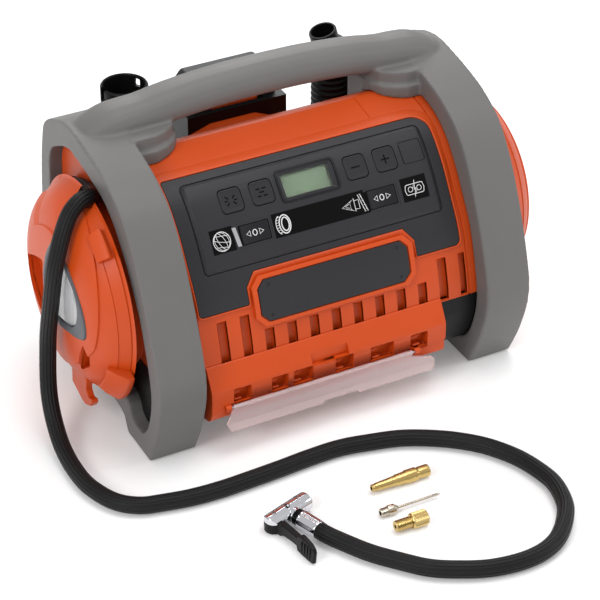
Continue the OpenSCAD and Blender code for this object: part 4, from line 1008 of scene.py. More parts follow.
def end_caps():
    dome = dome_solid()
    notch1 = tube_line([[134, 14.3, 160.2], [151.5, -10.8, 174.8]], 7.4, 28)
    notch2 = tube_line([[146, -9.4, 172.8], [162, -9.4, 172.8]], 7.0, 28, up=(0, 1, 0))
    vent, slit = round_poly(VENT, 2.0), round_poly(SLIT, 0.8)
    body = cut([dome], [prism(leaf_pts(-0.3), 140, 185, 0)])
    body = cut([body], [prism(vent, 159, 185, 0)])
    body = cut([body], [prism(slit, 150, 185, 0)])
    body = cut([body], [notch1])
    body = cut([body], [notch2])
    parts = [body]
    wall = moved(lathe([(0, 140), (72, 140), (72, 149), (69.5, 152.6), (65, 157.8), (58.6, 162.4), (50.4, 165.5), (38, 167.4), (20, 168.4), (0, 168.5)], 96), RX, (0, AY, AZ))
    for o in (vent, slit):
        o2 = np.array(o)
        pocket = cut([prism(grow(o2, 0.9), 157.4, 175, 0)], [prism(o2, 159.0, 176, 0)])
        parts.append(cut([pocket], [wall], "INTERSECT"))
    # bridges over the hose groove and the hook under the cap
    tab = [(66, 154.6), (69, 157.6), (73, 155.2), (76.2, 151.6), (76.6, 149.8), (74, 147.6), (66, 149)]
    parts.append(rounded(polar_block(tab, 119, 135), 0.7, 3, 25))
    tab2 = [(64, 156.6), (67, 160.2), (73, 156.4), (78.8, 150.4), (79.6, 148.6), (79.6, 145.0), (73, 145.0), (64, 149)]
    parts.append(rounded(polar_block(tab2, 202, 227), 0.8, 3, 25))
    hook = round_poly([[3, 45], [4.4, 24.2], [-10.8, 18.8], [-17.5, 18.0], [-27, 22.8], [-30.4, 27.4], [-28.8, 29.4], [-23.7, 27.8], [-20.5, 31.7], [-21.5, 40], [-16, 50], [0, 50]],
                      [0, 1, 3, 3, 2, 1.0, 1.0, 1.6, 2, 3, 0, 0], 4)
    parts.append(rounded(prism(hook, 156.6, 161.4, 0), 0.7, 3))
    o = obj_from("lamp_cap", *mirrored(raw(parts)))
    finish_mesh(o, "orange", replaces=("left_end_cap",))
    # right cap: the same dome, a port instead of the lamp
    dome = dome_solid(True)
    port = lathe([(17, 150), (17, 171.6), (16.4, 172.6), (15.2, 173), (14.6, 172.6), (14.1, 171.4), (14.1, 150)], 64)
    port = moved(port, RX, (0, 6, 106))
    flange = moved(lathe([(16.5, 150), (24, 166), (23, 171.6), (22, 172.0), (19, 171.2), (16.9, 170.8)], 64), RX, (0, 6, 106))
    hole = moved(lathe([(0, 140), (14.1, 140), (14.1, 190), (0, 190)], 64), RX, (0, 6, 106))
    body = cut([dome], [hole])
    ringd = cut([cut([flange], [hole])], [moved(lathe([(0, 100), (80, 100), (80, 166.5), (0, 166.5)], 64), RX, (0, 6, 106))])
    parts = [body, clean(port), ringd]
    o = obj_from("port_cap", *raw(parts))
    finish_mesh(o, "orange", replaces=("right_end_cap",))


def lamp():
    def edge(d):
        return leaf_pts(d) if d < 2 else lens_pts(d - 3.4)
    def on_dome(d, lift):
        out = []
        for y, z in edge(d):
            r = math.hypot(y - AY, z - AZ)
            out.append([143.9 + 26.3 * s_at(max(r, 1.0)) + lift, y, z])
        return out
    def flat(d, x):
        return [[x, y, z] for y, z in edge(d)]
    def shrunk(k, d, lift):
        """The outline drawn towards the lamp's middle by the factor k, on the dome."""
        out = []
        for y, z in edge(d):
            y, z = -12 + (y + 12) * k, 108 + (z - 108) * k
            r = math.hypot(y - AY, z - AZ)
            out.append([143.9 + 26.3 * s_at(max(r, 1.0)) + lift, y, z])
        return out
    # bezel: a frame with a soft inner slope that follows the dome
    rings = [flat(0.05, 158), on_dome(0.05, -1.0), on_dome(0.15, 0.7), on_dome(0.6, 1.2), on_dome(2.3, 1.1), on_dome(3.0, 0.4), on_dome(3.4, -1.4), flat(3.4, 158), flat(0.05, 158)]
    part = clean(loft(rings, (False, False)))
    o = obj_from("lamp_frame", *mirrored(part))
    finish_mesh(o, "bezel", replaces=("lamp_bezel",))
    # lens with a stepped rim, a smooth front and a hollow back
    rings = [flat(3.7, 163.2), on_dome(3.7, -1.8), on_dome(4.2, -1.0), on_dome(5.6, -0.7), on_dome(6.0, 0.0), shrunk(0.7, 5.0, 0.3), shrunk(0.45, 5.0, 0.4), shrunk(0.15, 5.0, 0.5)]
    back = [flat(3.7, 163.2), flat(5.6, 164.4), shrunk(0.8, 5.0, -4.2), shrunk(0.4, 5.0, -4.1), shrunk(0.12, 5.0, -4.0)]
    part = clean(raw([loft(rings, (False, True)), loft(back, (False, True))]))
    o = obj_from("lamp_glass", *mirrored(part))
    finish_mesh(o, "lens", replaces=("lamp_lens",))
    # silver dish with a round bowl behind the lens
    n = len(LEAF)
    def circ(r, x):
        out = []
        for y, z in edge(6):
            a = math.atan2(z - 108, y + 12)
            out.append([x, -12 + r * math.cos(a), 108 + r * math.sin(a)])
        return out
    def bowl(x0):
        return [flat(3.9, 162.6 + x0), flat(5.2, 161.6 + x0), [[160.8 + x0 - 0.6 * k, -12 + (p[1] + 12) * (0.8 - 0.12 * k), 108 + (p[2] - 108) * (0.8 - 0.12 * k)] for k in (0,) for p in flat(5.2, 0)],
                circ(15.5, 160.0 + x0), circ(14.6, 158.2 + x0), circ(11.5, 155.2 + x0), circ(7.4, 153.6 + x0)]
    front, rear = bowl(0.0), bowl(-0.8)[::-1]
    part = clean(raw([loft(front, (False, False)), loft(rear, (False, False)), loft([rear[-1], front[0]], (False, False)), loft([front[-1], rear[0]], (False, False))]))
    o = obj_from("lamp_dish", *mirrored(part))
    finish_mesh(o, "dish", replaces=("lamp_reflector",))
    # small ridges across the dish, as a moulded lamp has
    ribs = []
    for k in range(18):
        a = 2 * math.pi * k / 18
        r0, r1 = 9.5, 15.2
        c, q = math.cos(a), math.sin(a)
        w = 0.45
        quad = []
        for r, x in ((r0, 154.9), (r1, 159.6)):
            for sg in (-1, 1):
                quad.append([x, -12 + r * c - sg * w * q, 108 + r * q + sg * w * c])
        up = [[p[0] + 0.7, p[1], p[2]] for p in quad]
        ribs.append(clean((quad + up, [[0, 1, 3, 2], [4, 6, 7, 5], [0, 4, 5, 1], [2, 3, 7, 6], [0, 2, 6, 4], [1, 5, 7, 3]])))
    o = obj_from("lamp_dish_ribs", *mirrored(raw(ribs)))
    finish_mesh(o, "dish")
    dress("lamp_led", "led", 0.3)


# ------------------------------------------------------------------ tray and lid
def tray():
    out = [[-79.0, 66.8], [-80.0, 66.6], [-80.8, 65.6], [-87.8, 52.8], [-88.5, 50.6], [-88.5, 35], [-86.4, 29], [-81.6, 24.6], [-71, 22]]
    x0, x1 = -100, 78
    blk = rounded(prism(out, x0, x1, 0), 1.6, 3, 20)
    pockets = [(-84, -71), (-56, -43.5), (-39.5, -25), (-8, 6), (19, 37), (50, 63.5)]
    cuts = [rounded(prism(rrect(b - a, 13.6, 1.2, 3, (a + b) / 2, 43.4), -95, -81.4, 1), 0.3, 1) for a, b in pockets]
    cuts.append(cube(-91, 95, -100, -86.6, 20, 39.2))
    cuts.append(prism(round_poly([[-25.5, 49.6], [2.5, 49.6], [2.5, 60.2], [-25.5, 60.2]], [1.5, 1.5, 4.5, 4.5], 5), -95, -84.9, 1))
    ring = flow(front_ctl, 8)
    back = [[y - 0.12, z] for y, z in ring if z < 80]
    cuts.append(prism(back + [[0, 80], [0, 16]], -200, 200, 0))
    body = cut([blk], cuts)
    # the tray body with softened edges
    parts = [rounded(body, 0.45, 2, 40)]
    def clip(x, w, r):
        """A C-shaped spring clip, open to the front."""
        o = arc(-85.2, 43.5, r + 1.3, 128, -128, 18) + arc(-85.2, 43.5, r, -128, 128, 18)
        o = [[y + 1.8, z] for y, z in o]
        return rounded(prism(o, x, x + w, 0), 0.25, 2)
    for x in (-82.4, -54.6, -38.0):
        parts.append(clip(x, 5, 3.4))
        parts.append(rounded(cube(x, x + 5, -83.4, -80.9, 42.2, 44.8), 0.2, 1))
    for x in (-6.4, 21.4, 53):
        parts.append(clip(x, 5.6, 3.8))
        parts.append(rounded(cube(x, x + 5.6, -83.4, -80.9, 42.2, 44.8), 0.2, 1))
    for x in (-90.7, 52.6):
        lug = cut([prism(round_poly([[-91.2, 34.8], [-84, 34.8], [-84, 39.2], [-91.2, 39.2]], [1.6, 0, 0, 1.6]), x, x + 4, 0)],
                  [moved(lathe([(0, -2), (0.85, -2), (0.85, 8), (0, 8)], 24), RX, (x - 1, -89.8, 37))])
        parts.append(lug)
    o = obj_from("tray_body", *raw(parts))
    finish_mesh(o, "orange", replaces=("accessory_tray",))


def lid():
    tip = (-2.2, -5.6)
    ly, lz = -89.8, 37.0
    sec = [[ly - 0.9, lz], [ly + 0.9, lz], [ly + 0.9, lz - 12.8], [ly + 0.9 + tip[0], lz - 12.8 + tip[1]],
           [ly - 0.9 + tip[0], lz - 12.2 + tip[1]], [ly - 0.9, lz - 12.4]]
    sec = round_poly(sec, [0.5, 0.5, 1.2, 0.5, 0.5, 1.2], 3)
    outl = [[50.5, 38], [50.5, 34]] + arc(62, 24.6, 6.4, 30, -90, 8) + [[10, 17.8], [7, 21], [-18, 21], [-21, 17.8]] + arc(-84, 24.2, 6, -90, -180, 8) + [[-86, 34], [-85, 38]]
    plate = cut([prism(sec, -91, 69, 0)], [prism(outl, -106, -80, 1)], "INTERSECT")
    hinge = moved(lathe([(0, 0), (1.6, 0), (1.6, 135.5), (0, 135.5)], 24), RX, (-85, ly, lz))
    # stiffening lines on the inside face
    rib = [cube(-84, 62, ly + 0.9, ly + 1.7, 25.2, 26.0), cube(-84, 49, ly + 0.9, ly + 1.7, 32.4, 33.2)]
    parts = [rounded(plate, 0.3, 2), cut([hinge], [moved(lathe([(0, -2), (0.85, -2), (0.85, 9), (0, 9)], 24), RX, (-85, ly, lz)),
                                                  moved(lathe([(0, -2), (0.85, -2), (0.85, 12), (0, 12)], 24), RX, (42, ly, lz))])] + rib
    parts = [(np.asarray(p[0]), p[1]) for p in parts]
    o = obj_from("tray_lid_clear", *raw(parts))
    finish_mesh(o, "clear", "lid", ("accessory_lid",))


# ------------------------------------------------------------------ thin hose and chuck
HOSE_AIR = [[-137.5, 41, 152.6], [-137.5, 26, 159.6], [-138, 10, 163.4], [-141.5, -1, 168], [-147.5, -7, 171.8],
    [-154.5, -10.5, 172], [-162, -13.5, 167.5], [-168.5, -17, 158.5], [-174, -19.5, 146], [-177.4, -19, 131.5],
    [-178.4, -12, 104.5], [-179, -4, 75.5], [-180, -3, 58.5], [-182.5, -6.5, 40], [-185, -14, 27],
    [-187, -25.5, 16], [-189, -41.5, 9], [-190, -60, 6.2]]
HOSE_FLOOR = [[-189.5, -80.5], [-185.5, -96.5], [-180, -108], [-173, -115.5], [-164.5, -120.5], [-155, -123],
    [-135.5, -127], [-114.5, -128.5], [-92.5, -128], [-70, -127], [-47, -125.5], [-24.5, -125.5], [-3.5, -129.5],
    [16.5, -135], [34, -144], [50.5, -156], [64.5, -171], [75.5, -191], [81, -213], [81, -228], [76, -245],
    [69, -256], [60, -266], [49.5, -274], [36, -279], [19.5, -280], [0, -276.5], [-17, -269], [-33, -259],
    [-46.5, -244.5], [-59, -229], [-69.5, -211]]
CK = np.array([-98.6, -174.2, 6.6])
CA = math.radians(18)
CU, CV = np.array([math.cos(CA), math.sin(CA), 0]), np.array([math.sin(CA), -math.cos(CA), 0])
FE = CK + 14 * CU + 27 * CV
HOSE = HOSE_AIR + [[x, y, 6.0] for x, y in HOSE_FLOOR] + [(FE + 6 * CV).tolist(), FE.tolist()]


def chuck_frame(part):
    """A part drawn with x along the head and y towards the body, moved to the chuck."""
    c, s = math.cos(CA), math.sin(CA)
    return moved(part, [[c, -s, 0], [s, c, 0], [0, 0, 1]], CK)


def air_hose():
    line = flow(HOSE, 7)
    n = 112
    def radial(a, r):
        # fine ribs along the hose
        k = (a * 14 / (2 * math.pi)) % 1.0
        return r - 0.55 + 0.55 * min(1.0, 1.35 * abs(math.sin(math.pi * k)) ** 0.8)
    part = tube_line(line, 5.74, n, radial=radial)
    o = obj_from("thin_hose", *clean(part, 1e-5))
    finish_mesh(o, "hose", replaces=("air_hose",), wn=False)
    o.data.set_sharp_from_angle(angle=math.radians(120))
    path = (line + [0, YS, 0]) * 0.001
    length = float(np.sum(np.linalg.norm(np.diff(path, axis=0), axis=1)))
    dress("hose_gland", "black", 0.5)
    return o, path, length


def chuck():
    # ferrule: black collar, then a chrome sleeve with lengthwise flutes (drawn down the -y axis)
    def flutes(a, r, h):
        return r if h < 12 or h > 26 else r - 0.42 * (0.5 + 0.5 * math.cos(11 * a)) ** 2
    sleeve = lathe([(4.6, 5.6), (5.0, 6.0), (5.1, 6.6), (5.15, 10.6), (5.7, 11.0), (6.1, 11.6), (6.1, 12.4)] + [(6.1, 12.6 + 1.1 * k) for k in range(12)] + [(6.1, 26.2), (5.85, 26.9), (5.75, 27.0)], 132, flutes)
    D = [[1, 0, 0], [0, 0, -1], [0, 1, 0]]          # z -> -y
    o = obj_from("ferrule_sleeve", *chuck_frame(moved(sleeve, D, (14, 0, 0))))
    finish_mesh(o, "chrome", replaces=("hose_ferrule",), wn=False)
    collar = lathe([(5.2, 6.7), (5.55, 7.0), (5.6, 7.6), (5.6, 9.8), (5.55, 10.3), (5.2, 10.5), (5.0, 10.5), (5.0, 6.7), (5.2, 6.7)], 48)
    o = obj_from("ferrule_collar", *chuck_frame(moved(collar, D, (14, 0, 0))))
    finish_mesh(o, "gloss")
    # head: barrel with a stepped mouth, a ring at the tail and a neck
    barrel = lathe([(0, 3.0), (5.2, 3.0), (6.1, 3.6), (6.5, 4.4), (6.5, 10.2), (6.2, 10.5), (6.2, 11.0), (6.5, 11.3), (6.5, 21.0), (6.1, 21.4), (6.1, 22.2), (6.5, 22.6),
                    (6.5, 28.4), (6.2, 29.4), (5.4, 30.0), (4.2, 30.0), (4.2, 22.0), (4.6, 22.0), (4.6, 17.0), (1.5, 17.0), (1.5, 10), (0, 10)], 56)
    barrel = moved(barrel, RX)
    bite = lathe([(0, -9), (6.6, -9), (6.6, 9), (0, 9)], 48)
    barrel = cut([barrel], [bite])
    neck = moved(lathe([(5.2, 0), (5.2, 6.0), (4.9, 6.6), (0, 6.6)], 40), D, (14, 0, 0))
    neck = cut([clean(neck)], [moved(lathe([(0, -5), (4.7, -5), (4.7, 40), (0, 40)], 40), RX)])
    over = moved(lathe([(0, -6.4), (5.7, -6.4), (6.2, -6.1), (6.5, -5.5), (6.5, 7.6), (0, 7.6)], 72), RX)
    over = cut([over], [cube(-20, 20, -20, 20, -20, 1.7)])
    # the end is round about the lever's pin, so the lever's arm passes it
    plan = arc(0, 0, 6.5, 90, 270, 36) + [[9, -6.5], [9, 6.5]]
    over = cut([over], [prism(plan, -9, 9)], "INTERSECT")
    over = cut([over], [lathe([(0, -9), (1.52, -9), (1.52, 9), (0, 9)], 24)])
    tongue = cut([rounded(raw([prism([[0, -3.4], [7.2, -3.4], [7.2, 3.4], [0, 3.4]], -2, 2)]), 0.2, 1)], [lathe([(0, -9), (1.52, -9), (1.52, 9), (0, 9)], 24)])
    eye = lathe([(1.52, -2), (3.1, -2), (3.4, -1.7), (3.4, 1.7), (3.1, 2), (1.52, 2), (1.52, -2)], 40)
    parts = [barrel, over, neck, tongue, eye]
    o = obj_from("head_chrome", *chuck_frame(raw(parts)))
    finish_mesh(o, "chrome", replaces=("chuck_head",), bevel=0.15, seg=1)
    # small bleed hole on the top of the head, drawn as a gloss black disc: its dark is painted shade of the hole
    ta = math.radians(96)
    shade_disc = moved(lathe([(0, 0), (1.75, 0), (1.75, 0.5), (1.2, 0.2), (0, 0.2)], 28), [[0, 1, 0], [math.sin(ta), 0, math.cos(ta)], [-math.cos(ta), 0, math.sin(ta)]], (11.4, 6.2 * math.cos(ta), 6.2 * math.sin(ta)))
    o = obj_from("head_bleed_painted_shade", *chuck_frame(shade_disc))
    finish_mesh(o, "gloss")
    dress("chuck_seal", "rubber", 0.15)
    # pin with domed heads
    pin = lathe([(0, -6.5), (1.6, -6.45), (2.2, -6.25), (2.2, -6.15), (1.5, -6.1), (1.5, 6.1), (1.7, 6.2), (1.7, 6.5), (1.2, 6.65), (0, 6.7)], 32)
    o = obj_from("lever_pin", *chuck_frame(pin))
    finish_mesh(o, "steel", replaces=("chuck_pin",))
    # lever: one round cheek, two webs, a curved wall round the pin and a paddle arm with a ribbed grip
    hole = lathe([(0, -9), (1.56, -9), (1.56, 9), (0, 9)], 32)
    cheeks = [lathe([(0, z0), (5.9, z0), (6.5, z0 + 0.5), (6.5, z1 - 0.4), (6.2, z1), (0, z1)], 12) for z0, z1 in ((-6.1, -2.4),)]
    webs = [cube(-3, 2.2, -9.4, -7.0, -5.2, 3.6), cube(-3, 2.2, -7.2, -4.9, -5.2, 1.3)]
    side = [138 + 154 * k / 15 for k in range(16)]
    wall = [[r * math.cos(math.radians(t)), r * math.sin(math.radians(t))] for r, ts in ((6.5, side), (4.4, side[::-1])) for t in ts]
    lev = cut([cheeks[0], *webs, prism(wall, -2.8, 1.3)], [hole])
    # stem and twisted paddle
    sec = [(-7.2, -0.4, 2.6, -4.6, 3.4), (-9.5, -0.5, 2.5, -4.2, 3.7), (-14, -0.8, 2.3, -3.7, 3.6), (-20, -1.5, 2.2, -3.4, 3.3), (-25.0, -2.4, 2.2, -3.2, 3.4), (-26.6, -2.9, 2.1, -5.6, 5.4),
           (-28.6, -3.3, 2.0, -6.2, 6.2), (-33, -4.3, 1.8, -6.3, 6.4), (-38, -5.4, 1.6, -6.3, 6.2), (-41.6, -6.3, 1.4, -5.9, 4.8), (-43.4, -6.8, 1.1, -5.0, 2.6)]
    rings = []
    for i, (y, x, hw, z0, z1) in enumerate(sec):
        j0, j1 = max(0, i - 1), min(len(sec) - 1, i + 1)
        t = np.array([sec[j1][1] - sec[j0][1], sec[j1][0] - sec[j0][0]])
        t /= np.linalg.norm(t)
        nx, ny = -t[1], t[0]
        lean = 0.9 if i > 4 else 0.3
        rings.append([[x + nx * hw - lean * 0.5, y + ny * hw, z0], [x - nx * hw - lean * 0.5, y - ny * hw, z0], [x - nx * hw + lean * 0.5, y - ny * hw, z1], [x + nx * hw + lean * 0.5, y + ny * hw, z1]])
    am = clean(loft(rings))
    parts = [rounded(lev, 0.3, 2, 30), rounded(am, 0.55, 3, 22)]
    for k in range(4):
        y, x, hw = -30.5 - 2.9 * k, -3.75 - 0.66 * k, 1.9 - 0.12 * k
        parts.append(rounded(moved(cube(-0.3, 0.3, -0.45, 0.45, -4.4, 4.4), [[0.97, 0.22, 0], [-0.22, 0.97, 0], [0, 0, 1]], (x - hw - 0.2, y + 0.4, 0)), 0.2, 1))
    o = obj_from("lever_arm", *chuck_frame(raw(parts)))
    finish_mesh(o, "black", "lever", ("chuck_lever",))


# ------------------------------------------------------------------ loose adapters
def thread(r0, depth, pitch, z0, z1, n=48, lead_in=0.8):
    """Outer surface rings of a screw thread between heights z0 and z1."""
    steps = int((z1 - z0) / pitch * 8)
    V, Fc = [], []
    for j in range(steps + 1):
        z = z0 + (z1 - z0) * j / steps
        for k in range(n):
            a = 2 * math.pi * k / n
            ph = ((z - z0) / pitch - k / n) % 1.0
            w = 1 - abs(2 * ph - 1)
            edge = min(1, (z - z0) / lead_in, (z1 - z) / lead_in)
            V.append([(r0 - depth + depth * w * max(0, edge)) * math.cos(a), (r0 - depth + depth * w * max(0, edge)) * math.sin(a), z])
    for j in range(steps):
        for k in range(n):
            a, b = j * n + k, j * n + (k + 1) % n
            Fc.append([a, b, b + n, a + n])
    Fc.append(list(range(n - 1, -1, -1)))
    Fc.append([steps * n + k for k in range(n)])
    return np.array(V), Fc


def adapters():
    def at(x, y, r):
        return lambda part: moved(part, RX, (x, y, r))
    # tapered nozzle with rings
    put = at(-26, -171.7, 4.7)
    cone = lathe([(1.4, 0), (2.2, 0), (2.6, 0.4), (2.6, 1.3), (2.25, 1.6), (2.3, 2.4), (2.75, 3.0), (3.45, 16.6), (3.5, 17.6), (3.9, 18.0), (4.05, 22.5), (4.2, 24.6), (4.5, 25.4),
                  (4.7, 26.0), (4.7, 32.8), (4.5, 33.4), (4.0, 34.0), (3.9, 34.9), (4.2, 35.4), (4.2, 42.0), (3.8, 42.6), (2.4, 42.6), (2.4, 34), (1.4, 34), (1.4, 0)], 56)
    o = obj_from("nozzle_cone", *put(cone))
    finish_mesh(o, "brass", "cone_adapter", ("cone_nozzle",))
    # needle: threaded base, hexagon-like collar, thin tube with an eye
    put = at(-32.6, -195.5, 3.55)
    base = thread(3.1, 0.34, 0.8, 0.0, 5.2, 40, 0.5)
    base = cut([base], [lathe([(0, -1), (1.6, -1), (1.6, 10), (0, 10)], 24)])
    collar = lathe([(1.6, 5.0), (3.2, 5.0), (3.55, 5.4), (3.55, 9.8), (3.2, 10.4), (2.6, 11.4), (2.0, 12.4), (1.2, 12.8), (0.9, 13.2), (0.9, 42.6), (0.72, 43.6), (0.4, 44.1), (0, 44.2), (0, 12), (1.6, 9.8), (1.6, 5.0)], 40)
    o = obj_from("needle_body", *put(raw([base, collar])))
    finish_mesh(o, "nickel", "needle_adapter", ("ball_needle",))
    # the eye is a black block set across the tube: its dark is painted shade of the hole
    eye = rounded(cube(38.2, 41.6, -0.32, 0.32, -0.94, 0.94), 0.1, 1)
    o = obj_from("needle_eye_painted_shade", *moved(eye, None, (-32.6, -195.5, 3.55)))
    finish_mesh(o, "black", "needle_adapter")
    # valve adapter: thread and a knurled sleeve
    put = at(-31.8, -213.5, 5.3)
    th = thread(3.85, 0.45, 0.95, 0.0, 11.2, 48, 0.7)
    th = cut([th], [lathe([(0, -1), (1.3, -1), (1.3, 14), (0, 14)], 24)])
    def knurl(a, r, h):
        if r < 5.0:
            return r
        return r - 0.28 + 0.28 * (0.5 + 0.5 * math.cos(36 * a))
    zs = [12.2 + 0.5 * k for k in range(20)]
    sl = lathe([(1.3, 11.2), (4.5, 11.3), (4.9, 11.7), (5.3, 12.2)] + [(5.3, z) for z in zs[1:]] + [(5.3, 22.0), (4.8, 22.6), (4.3, 22.8), (3.7, 22.8), (3.7, 12.4), (1.3, 12.4), (1.3, 11.2)],
               144, knurl)
    o = obj_from("valve_thread", *put(th))
    finish_mesh(o, "brass", "thread_adapter", ("valve_adapter",))
    o = obj_from("valve_sleeve", *put(sl))
    finish_mesh(o, "brasspale", "thread_adapter", wn=False)


# ------------------------------------------------------------------ corrugated hose, its clips and ends
LX, LY, LLOW, LB, LR, LTOP = 79.5, 84.0, 46.0, 30.0, 14.0, 171.0


def lp_line(step):
    P = []
    for k in range(int((LTOP - LLOW - LB) / step) + 1):
        P.append([-LX, LY, LTOP - k * step])
    for k in range(1, 13):
        a = math.radians(180 + 90 * k / 12)
        P.append([-LX + LB + LB * math.cos(a), LY, LLOW + LB + LB * math.sin(a)])
    P.append([0, LY, LLOW])
    for k in range(0, 13):
        a = math.radians(270 + 90 * k / 12)
        P.append([LX - LB + LB * math.cos(a), LY, LLOW + LB + LB * math.sin(a)])
    P.append([LX, LY, LTOP])
    P = np.array(P, float)
    d = np.concatenate([[0], np.cumsum(np.linalg.norm(np.diff(P, axis=0), axis=1))])
    keep = np.concatenate([[True], np.diff(d) > 1e-6])
    P, d = P[keep], d[keep]
    n = int(d[-1] / step)
    t = np.linspace(0, d[-1], n + 1)
    return np.stack([np.interp(t, d, P[:, i]) for i in range(3)], 1), t


def lp_hose():
    pitch = 4.6
    step = pitch / 8
    line, t = lp_line(step)
    r = []
    for s in t:
        ph = (s / pitch) % 1.0
        w = 0.5 + 0.5 * math.cos(2 * math.pi * ph)
        r.append(LR - 1.9 + 1.9 * w ** 0.7)
    outer = tube_line(line, r, 56, up=(0, 1, 0), caps=(False, False))
    inner = tube_line(line[::4], LR - 3.2, 56, up=(0, 1, 0), caps=(False, False))
    m = 56
    V = np.concatenate([outer[0], inner[0]])
    no, ni = len(outer[0]), len(inner[0])
    Fc = [list(f) for f in outer[1]] + [[i + no for i in f][::-1] for f in inner[1]]
    for k in range(m):
        j = (k + 1) % m
        Fc.append([k, no + k, no + j, j])
        a, b = no - m, no + ni - m
        Fc.append([a + k, a + j, b + j, b + k])
    o = obj_from("fat_hose", *clean((V, Fc), 1e-5))
    finish_mesh(o, "lphose", replaces=("lp_hose",), wn=False)
    o.data.set_sharp_from_angle(angle=math.radians(70))
    # cup on the left end, with a slot in its side
    cup = lathe([(14, 175), (14.2, 176.2), (14.2, 180.4), (15.4, 180.8), (16.4, 181.6), (16.5, 183), (16.5, 191.6), (16.1, 192.0), (16.1, 192.8), (16.5, 193.2), (16.5, 197.6), (15.9, 198.6), (15.0, 199.0),
                 (14.5, 198.6), (14.1, 197.4), (14.1, 184.2), (10, 184), (10, 175), (14, 175)], 72)
    slot = rounded(cube(-18, -12, -3, 3, 189, 203), 0.5, 2)
    nub = moved(rounded(cube(-2.5, 2.5, 13, 17.4, 190.5, 196.5), 0.6, 2), [[0.469, 0.883, 0], [-0.883, 0.469, 0], [0, 0, 1]])
    part = cut([cup], [slot, nub])
    o = obj_from("hose_cup", *moved(part, None, (-LX, LY, LTOP - 176)))
    finish_mesh(o, "black", replaces=("lp_connector",))
    # leaning nozzle on the right end
    base = lathe([(14, 175.2), (14.2, 176), (14.2, 179.4), (13.6, 180.2), (9, 180.2), (9, 175.2), (14, 175.2)], 64)
    noz = lathe([(13.0, -1.5), (13.4, 0.2), (13.4, 4.6), (12.9, 5.0), (12.9, 5.6), (13.4, 6.0), (13.4, 11.2), (12.8, 12.0), (10.4, 12.4), (10.0, 13.0), (10.0, 23.2), (9.5, 24.0), (8.5, 24.0), (8, 23.4), (8, -1.5), (13.0, -1.5)], 64)
    t16 = math.radians(-16)
    R = [[math.cos(t16), 0, math.sin(t16)], [0, 1, 0], [-math.sin(t16), 0, math.cos(t16)]]
    parts = [moved(base, None, (LX, LY, LTOP - 176)), moved(noz, R, (LX, LY, LTOP + 4))]
    grips = []
    for k in range(14):
        a = 2 * math.pi * k / 14
        rib = rounded(cube(13.1, 13.9, -0.7, 0.7, 6.6, 10.8), 0.25, 1)
        ca, sa = math.cos(a), math.sin(a)
        rib = moved(rib, [[ca, -sa, 0], [sa, ca, 0], [0, 0, 1]])
        grips.append(moved(rib, R, (LX, LY, LTOP + 4)))
    o = obj_from("hose_nozzle", *raw(parts + grips))
    finish_mesh(o, "black", replaces=("lp_nozzle",))
    dress("lp_clips", "black", 0.5)


# ------------------------------------------------------------------ battery on the back
def battery():
    top = round_poly([[-39.2, 96], [-39.2, 177], [-31, 187], [25, 187], [29.2, 181], [29.2, 96]], [3, 5, 4, 4, 4, 3], 5)
    body = rounded(prism(top, 71, 99, 1), 1.5, 3, 40)
    cuts = []
    for s in (-1, 1):
        a, b = sorted((s * 31.4 - 5, s * 40 - 5))
        cuts.append(cube(a, b, 75.6, 80, 90, 160.5))
    for x in (-18, -6, 6, 18):
        cuts.append(cube(x - 1, x + 1, 68, 80, 90, 114))
    cuts.append(cube(-21.6, 14.6, 68, 79, 157.4, 168.6))
    # parting groove round the pack and grip grooves on the back
    frame_ = cut([cube(-60, 60, 84.6, 85.4, 90, 200)], [prism(grow(np.array(top), -0.7), 80, 90, 1)])
    cuts.append(frame_)
    for k in range(5):
        z = 168 - 5 * k
        cuts.append(rounded(cube(-25, 15, 98.2, 101, z - 1, z + 1), 0.3, 1))
    cuts.append(rounded(cube(-30, 20, 98.6, 101, 112, 138), 0.4, 1))
    part = body
    for c in cuts:
        part = cut([part], [c])
    # a row of six small raised ribs on the top
    parts = [rounded(part, 0.25, 1, 45)]
    for k in range(6):
        x = -20 + 3.2 * k
        parts.append(rounded(cube(x, x + 1.6, 74, 82, 186.6, 187.4), 0.25, 1))
    o = obj_from("battery_body", *raw(parts))
    finish_mesh(o, "battery", "battery", ("battery_pack",))
    # latch with a bar of grip lines
    lt = rounded(cube(-21, 14, 69.6, 75, 158, 168), 0.8, 3)
    step = rounded(cube(-15, 8, 74.6, 76, 160, 166), 0.4, 2)
    parts = [lt, step]
    for k in range(6):
        x = -16.5 + 5.2 * k
        parts.append(rounded(cube(x, x + 1.4, 69.3, 70.0, 160, 166.4), 0.2, 1))
    parts.append(rounded(cube(-19, 12, 70.2, 74.4, 167.6, 168.5), 0.3, 2))
    o = obj_from("latch_bar", *raw(parts))
    finish_mesh(o, "orange", "latch", ("battery_latch",))
    dress("battery_dock", "black", 0.6)
    dress("dock_terminals", "brass", 0.1)


def others():
    dress("left_drum", "orange", 0.7, dissolve=0.6)
    dress("right_drum", "orange", 0.7, dissolve=0.6)
    dress("rear_housing", "orange", 1.2, seg=3, dissolve=0.6)
    dress("chassis_base", "black", 0.7, dissolve=0.6)
    dress("foot_pads", "rubber", 0.8)
    dress("frame_screws", "steel", 0.2)
    dress("lid_pins", "steel", 0.15)
    dress("lcd_window", "window", 0.15)
    dress("lcd_module", "lcd", 0.2)
    dress("rocker_frames", "panel", 0.25)
    dress("panel_board", "board", 0.1)
    dress("main_board", "board", 0.1)
    dress("compressor_motor", "motor", 0.5)
    dress("motor_pinion", "steel", 0.05)
    dress("crank_gear", "gear", 0.08)
    dress("cylinder_block", "alu", 0.4)
    dress("piston", "alu", 0.2)
    dress("blower_housing", "black", 0.4)
    dress("blower_impeller", "gear", 0.1)


